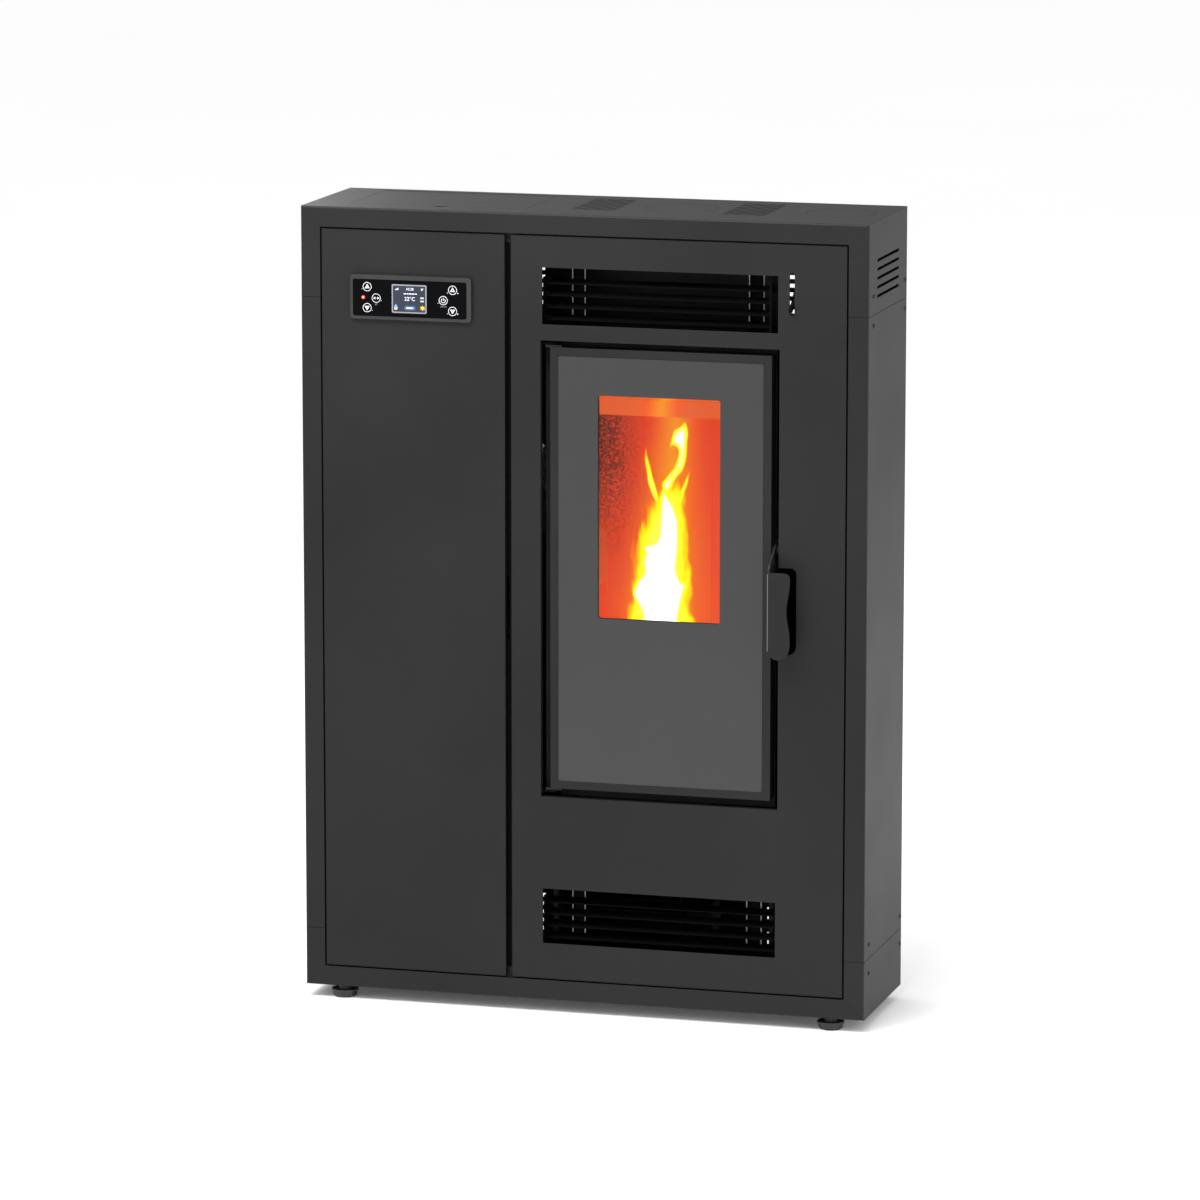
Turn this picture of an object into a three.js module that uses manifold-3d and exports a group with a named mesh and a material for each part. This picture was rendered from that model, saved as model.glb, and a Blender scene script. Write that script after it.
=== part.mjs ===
// Slim free-standing pellet stove. Millimetres, +Z up, front towards -Y, X to the right seen from the front.
// The origin lies on the floor, under the middle of the casing.
import * as THREE from 'three';
import { mergeVertices } from 'three/addons/utils/BufferGeometryUtils.js';
import Module from 'manifold-3d';

const wasm = await Module();
wasm.setup();

// ---------------------------------------------------------------- driving dimensions

const gap = 0.3; // clearance between pieces that seat on each other
const sheet = 2; // thickness of casing steel
const past = 5; // how far a cutting solid runs past the face that it cuts

const casing = { width: 805, depth: 224, height: 1100, border: 28, bend: 3, hood: 126, base: 82, seam: 0.6 };
const ledge = { depth: 10, width: 14 }; // step behind the front frame that the front panels seat on
const rearFlange = 12;

const foot = {
  height: 18, insetX: 51, insetY: 20, padRadius: 17, ringRadius: 19, ringLevel: 7.6, ringThick: 3.4,
  neckRadius: 9, studRadius: 5, studLength: 40, nutRadius: 9.5, nutHeight: 10,
};

// Distances "x" are from the casing's left edge, "z" from the casing's underside, "d" from its front face.
const panel = { margin: 3, leftEdge: 292.4, rightEdge: 302.6 };
const dividerSlot = { x: 294.5, width: 3, z: 507, height: 87 };
const lid = { x: 57, width: 252.5, d: 46.5, length: casing.depth - 69.5, gap: 0.8, skirt: 10 };
const lidHinge = { radius: 1.5, drop: 4, inset: 0.8, gap: 3.6, ear: 2.5 };
const lidNotch = { x: 188, radius: 16, depth: 7 };
const topGrille = { d: 62, length: 131, width: 61, angle: 52, slot: 5, pitch: 12.5, x: [369.5, casing.width - 222.5] };
const knockout = {
  x: [casing.width - 293.5, casing.width - 68], d: 118.5, radius: [50, 47], slit: 1.2, tab: 5, land: 6,
};
const sideVent = { d: 48.5, length: 127, z: casing.height - 103, pitch: 12.25, height: 4, count: 5 };
const rearVent = {
  x: [186.9, casing.width - 193], width: 100, height: 5.5, pitch: 12, count: 6, lowZ: 46.7,
  highZ: casing.height - 154.5,
};

const upperWindow = { x: 346.5, width: casing.width - 472.5, z: casing.height - 152, height: 78.4 };
const lowerWindow = { x: 346.5, width: casing.width - 472.5, z: 80.9, height: 77.7 };
const leverSlot = { x: casing.width - 106.6, width: 7, z: casing.height - 126.6, height: 57.8 };
const doorway = { x: 344, width: casing.width - 467.5, z: 288.7, height: casing.height - 462.7 };
const handleNotch = { reach: 25, z: 506, height: 120 };

const door = {
  x: 357, width: casing.width - 492, z: 300.7, height: casing.height - 484.3, d: 3, depth: 24, rim: 11.3, plate: 3,
};
const glass = { thick: 4, fit: 0.4 };
const viewHole = { x: 425, width: casing.width - 632, z: 543, height: casing.height - 790.5 };
const viewGlass = { overlap: 9, thick: 4 };
const clampStrip = { thick: 2, foot: 18, hold: 6, inset: 14 };
const gasket = { width: 7, thick: 4.4 };
const doorHinge = { x: 355.5, d: 12, pin: 3, ear: 3, earReach: 6, earLength: 23, earWidth: 13 };
const handle = {
  thick: 3, x: casing.width - 132.5, pivotD: 16, pivotZ: 648, pivotRadius: 4, boss: 9, proud: 28, top: 623.5, bottom: 503,
  reach: 32, arm: 12, noseD: 50, noseTop: 3.5, noseHeight: 10,
};
const keeper = { radius: 3, d: 42, gap: 0.5, plate: 2.5 };

const slat = {
  chord: 20, thick: 1.6, tilt: 12.5, d: 24, topZ: casing.height - 94.9, pitch: 16.65, count: 4, stub: 2.5,
};
const fixedSlat = { topZ: 138.6, pitch: 16.9, count: 4 };
const louvre = {
  left: 344.5, right: casing.width - 138, lowerRight: casing.width - 122, plate: 2, depth: 50, lowerDepth: 44,
  margin: 8, flange: 9,
};
const sidePort = { strip: 12, rim: 3 }; // cut-outs in the left end plate, beside the strip that holds the slats
const strut = { x: [378.8, casing.width - 176.3], width: [19.7, 22.5], d: 36, depth: 7, wall: 2 };
const link = { radius: 16, angle: 30, pin: 1.2, inset: 4, width: 8.4, thick: 2, ear: 1.5, end: 6, play: 0.5 };
const lever = { length: 42, width: 5, thick: 4, angle: 40, shaft: 3, knob: 3.6 };

const hopper = {
  wall: 2, left: 6.5, right: 315, neckRight: 275.5, d: 40, depth: casing.depth - 54,
  mouthZ: casing.height - 22, flareZ: casing.height - 88, taperZ: casing.height - 220,
  throatX: 115.5, throatWidth: 64, throatDepth: 60, throatZ: casing.height - 389.7,
};
const grid = { z: casing.height - 70, thick: 2, bars: 8, slotShare: 0.72, border: 10, tab: 6, tabInset: 60 };
const auger = {
  x: 112.5, z: casing.height - 522, run: 202, radius: 36, wall: 3, capLow: 3, capHigh: 5, shaft: 9, flight: 30, pitch: 46,
  flightThick: 3, turnSteps: 10, clearance: 0.4,
};
const outlet = { right: 338.5, width: 46, z: casing.height - 396, depth: 56 };
const chute = { endX: 397.5, floorRise: 28, height: 68, wall: 2 };
const gearMotor = { size: 76, depth: 45, motorRadius: 29, motorLength: 52, bore: 25 };

const partition = {
  x: 276.8, top: casing.height - 90, holeZ: casing.height - 416, holeHeight: 118, holeDepth: 84,
};

const firebox = {
  x: 348.5, width: casing.width - 489, z: 292, height: casing.height - 467, d: 32,
  depth: casing.depth - 78, wall: 4, flange: 6,
};
const flangeOpening = { inset: 13 };
const leg = { width: 6, depth: 13, front: 14 };
const shelf = { z: 450, thick: 4, ledge: 8, slotStart: 30, slotEnd: 90, slotWidth: 12 };
const pot = { x: casing.width / 2 + 88, size: 80, d: casing.depth / 2 - 2, wall: 4, z: 437, height: 78, rim: 7, rimZ: 454.6, holes: 3.2 };
const liner = { thick: 13, side: 3, ribs: 6, ribDepth: 4, top: casing.height - 277 };
const baffle = { z: casing.height - 272, thick: 8, d: 82, lip: 14 };
const ashPan = { margin: 4, width: 210, height: 60, wall: 2, front: 8, back: 10, grip: 60 };
const igniter = { radius: 4.8, z: 478, reach: 60, headRadius: 7, headLength: 16 };
const smokeBox = { x: casing.width - 236.5, width: 89, d: 72, depth: 47.7, z: 140, wall: 2 };
const fan = {
  x: casing.width - 190.5, z: 200, radius: 62, depth: 42, wall: 2, inlet: 30, wheel: 50, hub: 10, blades: 8,
  shaft: 4,
};
const fanOutlet = { right: casing.width - 32.5, z: 152, spigotX: casing.width - 80.5, spigotZ: 206 };
const fanMotor = { radius: 34, length: casing.depth - 180 };
const spigot = { radius: 40, wall: 1.5, beyond: 28, flange: 46 };
const intake = { x: pot.x, z: 390, radius: 25, wall: 1.5, beyond: 20 };
const blower = {
  x: 364.5, length: casing.width - 645, d: 94, z: 112, wheel: 28, blades: 10, shaft: 4, plate: 2, size: 76, motorRadius: 25,
  motorLength: 40,
};

const bezel = {
  x: 73, width: 173.7, z: casing.height - 153, height: 61.5, radius: 5, proud: 5, pocketX: 77,
  pocketZ: casing.height - 148.5,
};
const display = { width: 163, height: 50.5, thick: 2, radius: 3 };
const board = { z: 120, height: 200, d: 52, depth: 120, thick: 30 };
const inlet = { x: 62.5, z: 60, width: 50, height: 56, socketWidth: 25, socketHeight: 20, depth: 22, flange: 4 };
const rocker = { width: 19, height: 14, tilt: 8, thick: 9 };

// ---------------------------------------------------------------- frame helpers

const front = -casing.depth / 2;
const back = casing.depth / 2;
const floorGap = foot.height;
const top = floorGap + casing.height;
const side = casing.width / 2;
const fromLeft = (x) => x - side;
const inside = (d) => front + d;
const up = (z) => floorGap + z;
const rad = THREE.MathUtils.degToRad;

const rearPanelBack = back - sheet - gap;
const rearPanelFront = rearPanelBack - sheet;

// ---------------------------------------------------------------- solids

// Closed three.js geometry to a solid that can be joined and cut.
function solid(geometry) {
  geometry.deleteAttribute('normal');
  geometry.deleteAttribute('uv');
  const merged = mergeVertices(geometry, 1e-4);
  const index = merged.index.array;
  const kept = [];
  for (let i = 0; i < index.length; i += 3) {
    const [a, b, c] = [index[i], index[i + 1], index[i + 2]];
    if (a !== b && b !== c && a !== c) kept.push(a, b, c);
  }
  const vertProperties = new Float32Array(merged.attributes.position.array);
  return new wasm.Manifold(new wasm.Mesh({ numProp: 3, vertProperties, triVerts: new Uint32Array(kept) }));
}

function geometryOf(body) {
  const mesh = body.getMesh();
  const geometry = new THREE.BufferGeometry();
  geometry.setAttribute('position', new THREE.BufferAttribute(new Float32Array(mesh.vertProperties), 3));
  geometry.setIndex(new THREE.BufferAttribute(new Uint32Array(mesh.triVerts), 1));
  geometry.computeVertexNormals();
  return geometry;
}

const join = (...parts) => parts.reduce((sum, part) => sum.add(part));
const cut = (body, ...parts) => parts.reduce((rest, part) => rest.subtract(part), body);

function box(x0, x1, y0, y1, z0, z1) {
  const geometry = new THREE.BoxGeometry(x1 - x0, y1 - y0, z1 - z0);
  geometry.translate((x0 + x1) / 2, (y0 + y1) / 2, (z0 + z1) / 2);
  return solid(geometry);
}

// Cylinder between two points.
function rod(radius, from, to, sides = 16) {
  const start = new THREE.Vector3(...from);
  const end = new THREE.Vector3(...to);
  const way = end.clone().sub(start);
  const geometry = new THREE.CylinderGeometry(radius, radius, way.length(), sides);
  const turn = new THREE.Quaternion().setFromUnitVectors(new THREE.Vector3(0, 1, 0), way.clone().normalize());
  geometry.applyQuaternion(turn);
  geometry.translate(...start.add(end).multiplyScalar(0.5).toArray());
  return solid(geometry);
}

// Hole that clears a shaft of the given radius all round, whatever way its facets lie.
const bore = (radius, clearance, sides = 16) => (radius + clearance) / Math.cos(Math.PI / sides);

// Outline drawn in a plane and carried along the third axis: 'xy' along Z, 'xz' along Y, 'yz' along X.
const planes = {
  xy: new THREE.Matrix4(),
  xz: new THREE.Matrix4().makeBasis(
    new THREE.Vector3(1, 0, 0), new THREE.Vector3(0, 0, 1), new THREE.Vector3(0, -1, 0)),
  yz: new THREE.Matrix4().makeBasis(
    new THREE.Vector3(0, 1, 0), new THREE.Vector3(0, 0, 1), new THREE.Vector3(1, 0, 0)),
};

function prism(shape, plane, from, to, curveSegments = 6) {
  const geometry = new THREE.ExtrudeGeometry(shape, { depth: to - from, bevelEnabled: false, curveSegments });
  geometry.translate(0, 0, plane === 'xz' ? -to : from);
  geometry.applyMatrix4(planes[plane]);
  return solid(geometry);
}

const outline = (points) => new THREE.Shape(points.map(([u, v]) => new THREE.Vector2(u, v)));

// Rectangle whose corners are rounded, each by its own radius: lower left, lower right, upper right, upper left.
function roundRect(u0, u1, v0, v1, r0, r1 = r0, r2 = r0, r3 = r0) {
  const shape = new THREE.Shape();
  shape.moveTo(u0 + r0, v0);
  shape.lineTo(u1 - r1, v0);
  if (r1) shape.absarc(u1 - r1, v0 + r1, r1, -Math.PI / 2, 0);
  shape.lineTo(u1, v1 - r2);
  if (r2) shape.absarc(u1 - r2, v1 - r2, r2, 0, Math.PI / 2);
  shape.lineTo(u0 + r3, v1);
  if (r3) shape.absarc(u0 + r3, v1 - r3, r3, Math.PI / 2, Math.PI);
  shape.lineTo(u0, v0 + r0);
  if (r0) shape.absarc(u0 + r0, v0 + r0, r0, Math.PI, 1.5 * Math.PI);
  return shape;
}

// Six-sided solid between two level rectangles, each [x0, x1, y0, y1].
function loft(low, zLow, high, zHigh) {
  const ring = ([x0, x1, y0, y1], z) => [x0, y0, z, x1, y0, z, x1, y1, z, x0, y1, z];
  const geometry = new THREE.BufferGeometry();
  const points = new Float32Array([...ring(low, zLow), ...ring(high, zHigh)]);
  geometry.setAttribute('position', new THREE.BufferAttribute(points, 3));
  const faces = [[0, 3, 2, 1], [4, 5, 6, 7], [0, 1, 5, 4], [1, 2, 6, 5], [2, 3, 7, 6], [3, 0, 4, 7]];
  geometry.setIndex(faces.flatMap(([a, b, c, d]) => [a, b, c, a, c, d]));
  return solid(geometry);
}

// Frame with a rectangular opening: outer and inner [x0, x1, z0, z1], between two depths.
function ringXZ(outer, inner, y0, y1) {
  const [ox0, ox1, oz0, oz1] = outer;
  const [ix0, ix1, iz0, iz1] = inner;
  return cut(box(ox0, ox1, y0, y1, oz0, oz1), box(ix0, ix1, y0 - past, y1 + past, iz0, iz1));
}

const grow = ([x0, x1, z0, z1], by) => [x0 - by, x1 + by, z0 - by, z1 + by];
const faceOf = ({ x, width, z, height }) => [fromLeft(x), fromLeft(x + width), up(z), up(z + height)];

// ---------------------------------------------------------------- materials

const finish = (color, roughness, metalness, extra = {}) =>
  new THREE.MeshStandardMaterial({ color, roughness, metalness, ...extra });

const paint = () => finish(0x2e2e2f, 0.62, 0.35);
const darkPaint = () => finish(0x1c1c1d, 0.7, 0.3);
const steel = () => finish(0x8d9094, 0.4, 0.9);
const zinc = () => finish(0xa7abb0, 0.45, 0.85);
const castIron = () => finish(0x242322, 0.85, 0.4);
const fireSteel = () => finish(0x3a3632, 0.8, 0.5);
const plastic = () => finish(0x141416, 0.5, 0);
const rubber = () => finish(0x171717, 0.9, 0);
const rope = () => finish(0x55534e, 1, 0);

const stove = new THREE.Group();

function place(name, body, material, position = [0, 0, 0], turn = [0, 0, 0]) {
  const mesh = new THREE.Mesh(geometryOf(body), material);
  mesh.name = name;
  mesh.position.set(...position);
  mesh.rotation.set(...turn);
  stove.add(mesh);
  return mesh;
}

// ---------------------------------------------------------------- casing

// The whole painted shell in one, before it is parted at the seams.
function casingShell() {
  const plan = roundRect(-side, side, front, back, casing.bend, casing.bend, 0, 0);
  const profile = roundRect(front, back, floorGap, top, casing.bend, 0, 0, casing.bend);
  const block = prism(plan, 'xy', floorGap, top, 3).intersect(prism(profile, 'yz', -side, side, 3));
  const hollow = box(-side + sheet, side - sheet, front + sheet, back - sheet, floorGap + sheet, top - sheet);
  const opening = [-side + casing.border, side - casing.border, floorGap + casing.border, top - casing.border];
  const rear = box(
    -side + rearFlange, side - rearFlange, back - sheet - past, back + past, floorGap + rearFlange, top - rearFlange);
  const lip = ringXZ(grow(opening, sheet), opening, front + sheet / 2, inside(ledge.depth + sheet));
  const step = ringXZ(grow(opening, sheet), grow(opening, -ledge.width), inside(ledge.depth),
    inside(ledge.depth + sheet));
  const mouth = box(opening[0], opening[1], front - past, inside(ledge.depth), opening[2], opening[3]);
  return join(cut(block, hollow, rear, mouth), lip, step);
}

const shell = casingShell();
const seamLow = up(casing.base);
const seamHigh = top - casing.hood;
const halfSeam = casing.seam / 2;
const sideStrip = casing.border + ledge.width + sheet;

function slantedGrille(x) {
  const [x0, x1] = [fromLeft(x), fromLeft(x + topGrille.width)];
  const [y0, y1] = [inside(topGrille.d), inside(topGrille.d + topGrille.length)];
  const area = box(x0, x1, y0, y1, top - sheet - past, top + past);
  const reach = Math.hypot(topGrille.width, topGrille.length);
  const copies = Math.ceil(reach / topGrille.pitch / 2);
  const cuts = [];
  for (let i = -copies; i <= copies; i += 1) {
    const geometry = new THREE.BoxGeometry(reach, topGrille.slot, sheet * 4);
    geometry.translate(0, (i + 0.5) * topGrille.pitch, 0);
    geometry.rotateZ(rad(topGrille.angle));
    geometry.translate((x0 + x1) / 2, (y0 + y1) / 2, top - sheet / 2);
    cuts.push(solid(geometry));
  }
  return join(...cuts).intersect(area);
}

// Ring slit with four tabs that hold the disc until it is pushed out.
function knockoutSlit(x, radius) {
  const [cx, cy] = [fromLeft(x), inside(knockout.d)];
  const disc = (r) => rod(r, [cx, cy, top - sheet - past], [cx, cy, top + past], 28);
  const ring = cut(disc(radius + knockout.slit / 2), disc(radius - knockout.slit / 2));
  const tabs = [45, 135].map((angle) => {
    const geometry = new THREE.BoxGeometry(radius * 3, knockout.tab, sheet * 10);
    geometry.rotateZ(rad(angle));
    geometry.translate(cx, cy, top - sheet / 2);
    return solid(geometry);
  });
  return cut(ring, ...tabs);
}

const lidBack = inside(lid.d + lid.length);
const lidAxis = [0, lidBack - lidHinge.inset - lidHinge.radius, top - lidHinge.drop];
const lidOpening = [fromLeft(lid.x), fromLeft(lid.x + lid.width), inside(lid.d), lidBack + lidHinge.gap];

function makeHood() {
  const rim = box(-side - past, side + past, front - past, back + past, seamHigh + halfSeam, top + past);
  const [x0, x1, y0, y1] = lidOpening;
  const lidHole = box(x0, x1, y0, y1, top - sheet - past, top + past);
  const notch = rod(lidNotch.radius, [fromLeft(lidNotch.x), y0 + lidNotch.radius - lidNotch.depth, top - sheet - past],
    [fromLeft(lidNotch.x), y0 + lidNotch.radius - lidNotch.depth, top + past], 24);
  const vents = [];
  for (let i = 0; i < sideVent.count; i += 1) {
    const z = up(sideVent.z + i * sideVent.pitch);
    const [v0, v1] = [inside(sideVent.d), inside(sideVent.d + sideVent.length)];
    vents.push(box(-side - past, side + past, v0, v1, z - sideVent.height / 2, z + sideVent.height / 2));
  }
  const lands = knockout.x.map((x, i) => rod(knockout.radius[i] + knockout.land,
    [fromLeft(x), inside(knockout.d), top - sheet - past * 2], [fromLeft(x), inside(knockout.d), top + past * 2], 28));
  const grilles = topGrille.x.map((x) => cut(slantedGrille(x), ...lands));
  const slits = knockout.x.map((x, i) => knockoutSlit(x, knockout.radius[i]));
  const ears = [x0 - gap - lidHinge.ear, x1 + gap].map((x) => box(
    x, x + lidHinge.ear, lidAxis[1] - 4, lidAxis[1] + 4, lidAxis[2] - 4, top - sheet / 2));
  const rodHole = rod(bore(lidHinge.radius, gap, 12), [x0 - past * 2, lidAxis[1], lidAxis[2]],
    [x1 + past * 2, lidAxis[1], lidAxis[2]], 12);
  const ventless = cut(shell.intersect(rim), lidHole, notch, ...vents, ...grilles, ...slits);
  return cut(join(ventless, ...ears), rodHole);
}

function makeSidePanel(sign) {
  const x0 = sign < 0 ? -side - past : side - sideStrip;
  const x1 = sign < 0 ? -side + sideStrip : side + past;
  return shell.intersect(box(x0, x1, front - past, back + past, seamLow + halfSeam, seamHigh - halfSeam));
}

const footSpots = {
  front_left: [-side + foot.insetX, front + foot.insetY],
  front_right: [side - foot.insetX, front + foot.insetY],
  rear_left: [-side + foot.insetX, back - foot.insetY],
  rear_right: [side - foot.insetX, back - foot.insetY],
};

function makeBaseTray() {
  const lower = box(-side - past, side + past, front - past, back + past, floorGap - past, seamLow - halfSeam);
  const nuts = Object.values(footSpots).map(([x, y]) => rod(
    foot.nutRadius, [x, y, floorGap + sheet / 2], [x, y, floorGap + sheet + foot.nutHeight], 6));
  const holes = Object.values(footSpots).map(([x, y]) => rod(
    bore(foot.studRadius, gap), [x, y, floorGap - past], [x, y, floorGap + foot.nutHeight * 2]));
  const vents = [];
  for (let i = 0; i < 6; i += 1) {
    const x = fromLeft(lowerWindow.x) + (i + 0.5) * (lowerWindow.width / 6);
    vents.push(box(x - 20, x + 20, -20, 20, floorGap - past, floorGap + sheet + past));
  }
  return cut(join(shell.intersect(lower), ...nuts), ...holes, ...vents);
}

function makeFoot() {
  const profile = [
    [0, 0], [foot.padRadius - 2.5, 0], [foot.padRadius, 2.5], [foot.padRadius, foot.ringLevel],
    [foot.ringRadius, foot.ringLevel + 0.6], [foot.ringRadius, foot.ringLevel + foot.ringThick],
    [foot.neckRadius, foot.ringLevel + foot.ringThick], [foot.neckRadius, foot.height - gap],
    [foot.studRadius, foot.height - gap], [foot.studRadius, foot.height + foot.studLength],
    [0, foot.height + foot.studLength],
  ].map(([r, z]) => new THREE.Vector2(r, z));
  const geometry = new THREE.LatheGeometry(profile, 14);
  geometry.rotateX(Math.PI / 2);
  return solid(geometry);
}

function makeRearPanel() {
  const plate = box(-side + sheet + gap, side - sheet - gap, rearPanelFront, rearPanelBack,
    floorGap + sheet + gap, top - sheet - gap);
  const cuts = [];
  for (const x of rearVent.x) {
    for (const z of [rearVent.lowZ, rearVent.highZ]) {
      for (let i = 0; i < rearVent.count; i += 1) {
        const z0 = up(z + i * rearVent.pitch);
        cuts.push(box(fromLeft(x), fromLeft(x + rearVent.width), rearPanelFront - past, rearPanelBack + past,
          z0, z0 + rearVent.height));
      }
    }
  }
  const through = (radius, x, z) => rod(radius, [fromLeft(x), rearPanelFront - past, up(z)],
    [fromLeft(x), rearPanelBack + past, up(z)], 32);
  cuts.push(through(bore(spigot.radius, 1, 32), fanOutlet.spigotX, fanOutlet.spigotZ));
  cuts.push(through(bore(intake.radius, gap, 32), intake.x, intake.z));
  cuts.push(box(fromLeft(inlet.x) - gap, fromLeft(inlet.x + inlet.width) + gap, rearPanelFront - past,
    rearPanelBack + past, up(inlet.z) - gap, up(inlet.z + inlet.height) + gap));
  return cut(plate, ...cuts);
}

// Front panels: trays whose folded rims stand on the ledge behind the frame.
const panelLow = floorGap + casing.border + panel.margin;
const panelHigh = top - casing.border - panel.margin;
const panelRim = inside(ledge.depth) - gap;

function frontTray(x0, x1) {
  const tray = box(x0, x1, front, panelRim, panelLow, panelHigh);
  const hollow = box(x0 + sheet, x1 - sheet, front + sheet, panelRim + past, panelLow + sheet, panelHigh - sheet);
  return cut(tray, hollow);
}

const leftPanelX = [-side + casing.border + panel.margin, fromLeft(panel.leftEdge)];
const rightPanelX = [fromLeft(panel.rightEdge), side - casing.border - panel.margin];

const bezelFace = faceOf(bezel);
const bezelSkirt = grow(bezelFace, -7);

function makeLeftFrontPanel() {
  const [x0, x1, z0, z1] = grow(bezelSkirt, gap);
  return cut(frontTray(...leftPanelX), box(x0, x1, front - past, front + sheet + past, z0, z1));
}

const doorwayFace = faceOf(doorway);

function makeRightFrontPanel() {
  const rim = ringXZ(grow(doorwayFace, sheet), doorwayFace, front + sheet / 2, panelRim);
  const opening = ([x0, x1, z0, z1]) => box(x0, x1, front - past, panelRim + past, z0, z1);
  const slotX = fromLeft(leverSlot.x);
  const half = leverSlot.width / 2;
  const slot = prism(roundRect(slotX - half, slotX + half, up(leverSlot.z), up(leverSlot.z + leverSlot.height),
    half - 0.01), 'xz', front - past, front + sheet + past, 4);
  const [, x1] = doorwayFace;
  const notch = prism(roundRect(x1 - past, x1 + handleNotch.reach, up(handleNotch.z),
    up(handleNotch.z + handleNotch.height), 0, 12, 8, 0), 'xz', front - past, panelRim + past, 4);
  const tray = cut(frontTray(...rightPanelX), opening(doorwayFace), opening(faceOf(upperWindow)),
    opening(faceOf(lowerWindow)), slot);
  return cut(join(tray, rim), notch);
}

// Upright hat section between the front panels: its face is the floor of the groove.
const dividerX = [leftPanelX[1] - 18, rightPanelX[0] + 18];
const dividerLow = floorGap + casing.border + ledge.width + gap;
const dividerHigh = top - casing.border - ledge.width - gap;

function makeDivider() {
  const [x0, x1] = dividerX;
  const face = box(x0, x1, inside(ledge.depth), inside(ledge.depth + sheet), dividerLow, dividerHigh);
  const flange = (x) => box(x, x + sheet, inside(ledge.depth), inside(ledge.depth + 15), dividerLow, dividerHigh);
  const slotX = fromLeft(dividerSlot.x);
  const slot = box(slotX - dividerSlot.width / 2, slotX + dividerSlot.width / 2, front, inside(ledge.depth + past),
    up(dividerSlot.z), up(dividerSlot.z + dividerSlot.height));
  return cut(join(face, flange(x0), flange(x1 - sheet)), slot);
}

const partitionX = dividerX[0] + sheet + gap;

function makePartition() {
  const wall = box(partitionX, partitionX + sheet, inside(ledge.depth + sheet) + gap, rearPanelFront - gap,
    floorGap + sheet + gap, up(partition.top));
  const half = partition.holeDepth / 2;
  const hole = box(partitionX - past, partitionX + past, -half, half, up(partition.holeZ),
    up(partition.holeZ + partition.holeHeight));
  return cut(wall, hole);
}

// ---------------------------------------------------------------- hopper and feed

function makeLid() {
  const [x0, x1] = [lidOpening[0] + lid.gap, lidOpening[1] - lid.gap];
  const [y0, y1] = [lidOpening[2] + lid.gap, lidBack];
  const block = box(x0, x1, y0, y1, top - lid.skirt, top);
  const hollow = box(x0 + sheet, x1 - sheet, y0 + sheet, y1 + past, top - lid.skirt - past, top - sheet);
  const hole = rod(bore(lidHinge.radius, gap, 12), [x0 - past, lidAxis[1], lidAxis[2]],
    [x1 + past, lidAxis[1], lidAxis[2]], 12);
  return cut(block, hollow, hole);
}

function makeLidRod() {
  const [x0, x1] = lidOpening;
  const reach = gap + lidHinge.ear;
  return rod(lidHinge.radius, [x0 - reach, lidAxis[1], lidAxis[2]], [x1 + reach, lidAxis[1], lidAxis[2]], 12);
}

const hopperY = [inside(hopper.d), inside(hopper.d + hopper.depth)];
const hopperTop = top - sheet - gap;
const throat = [fromLeft(hopper.throatX), fromLeft(hopper.throatX + hopper.throatWidth),
  -hopper.throatDepth / 2 - hopper.wall, hopper.throatDepth / 2 + hopper.wall];
const hopperRects = [
  [throat, up(hopper.throatZ)],
  [[fromLeft(hopper.left), fromLeft(hopper.neckRight), ...hopperY], up(hopper.taperZ)],
  [[fromLeft(hopper.left), fromLeft(hopper.neckRight), ...hopperY], up(hopper.flareZ)],
  [[fromLeft(hopper.left), fromLeft(hopper.right), ...hopperY], up(hopper.mouthZ)],
  [[fromLeft(hopper.left), fromLeft(hopper.right), ...hopperY], hopperTop],
];

function stack(rects, inset) {
  const inner = ([x0, x1, y0, y1]) => [x0 + inset, x1 - inset, y0 + inset, y1 - inset];
  const layers = rects.slice(1).map(([rect, z], i) => loft(inner(rects[i][0]), rects[i][1], inner(rect), z));
  return join(...layers);
}

const gridZ = up(grid.z);

function makeHopper() {
  const body = cut(
    stack(hopperRects, 0),
    stack(hopperRects, hopper.wall),
    box(throat[0] + hopper.wall, throat[1] - hopper.wall, throat[2] + hopper.wall, throat[3] - hopper.wall,
      up(hopper.throatZ) - past, up(hopper.throatZ) + hopper.wall / 2),
    box(fromLeft(hopper.left) + hopper.wall, fromLeft(hopper.right) - hopper.wall, hopperY[0] + hopper.wall,
      hopperY[1] - hopper.wall, hopperTop - hopper.wall / 2, hopperTop + past));
  const tabs = [hopperY[0] + hopper.wall / 2, hopperY[1] - hopper.wall / 2 - grid.tab].map((y) => box(
    fromLeft(hopper.left + grid.tabInset), fromLeft(hopper.neckRight - grid.tabInset), y, y + grid.tab,
    gridZ - sheet - gap, gridZ - gap));
  return join(body, ...tabs);
}

function makeHopperGrid() {
  const [x0, x1] = [fromLeft(hopper.left) + hopper.wall + 1, fromLeft(hopper.neckRight) - hopper.wall];
  const [y0, y1] = [hopperY[0] + hopper.wall + gap, hopperY[1] - hopper.wall - gap];
  const plate = box(x0, x1, y0, y1, gridZ, gridZ + grid.thick);
  const pitch = (x1 - x0 - 2 * grid.border) / grid.bars;
  const slots = [];
  for (let i = 0; i < grid.bars; i += 1) {
    const start = x0 + grid.border + (i + (1 - grid.slotShare) / 2) * pitch;
    slots.push(box(start, start + pitch * grid.slotShare, y0 + grid.border, y1 - grid.border, gridZ - past,
      gridZ + past));
  }
  return cut(plate, ...slots);
}

// The auger climbs to the right at 45 degrees in the XZ plane.
const climb = new THREE.Vector3(1, 0, 1).normalize();
const augerLow = new THREE.Vector3(fromLeft(auger.x), 0, up(auger.z));
const augerHigh = augerLow.clone().add(new THREE.Vector3(auger.run, 0, auger.run));
const augerLength = augerLow.distanceTo(augerHigh);
const augerPoint = (distance) => augerLow.clone().addScaledVector(climb, distance).toArray();
const axisZ = (x) => augerLow.z + (x - augerLow.x);

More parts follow.
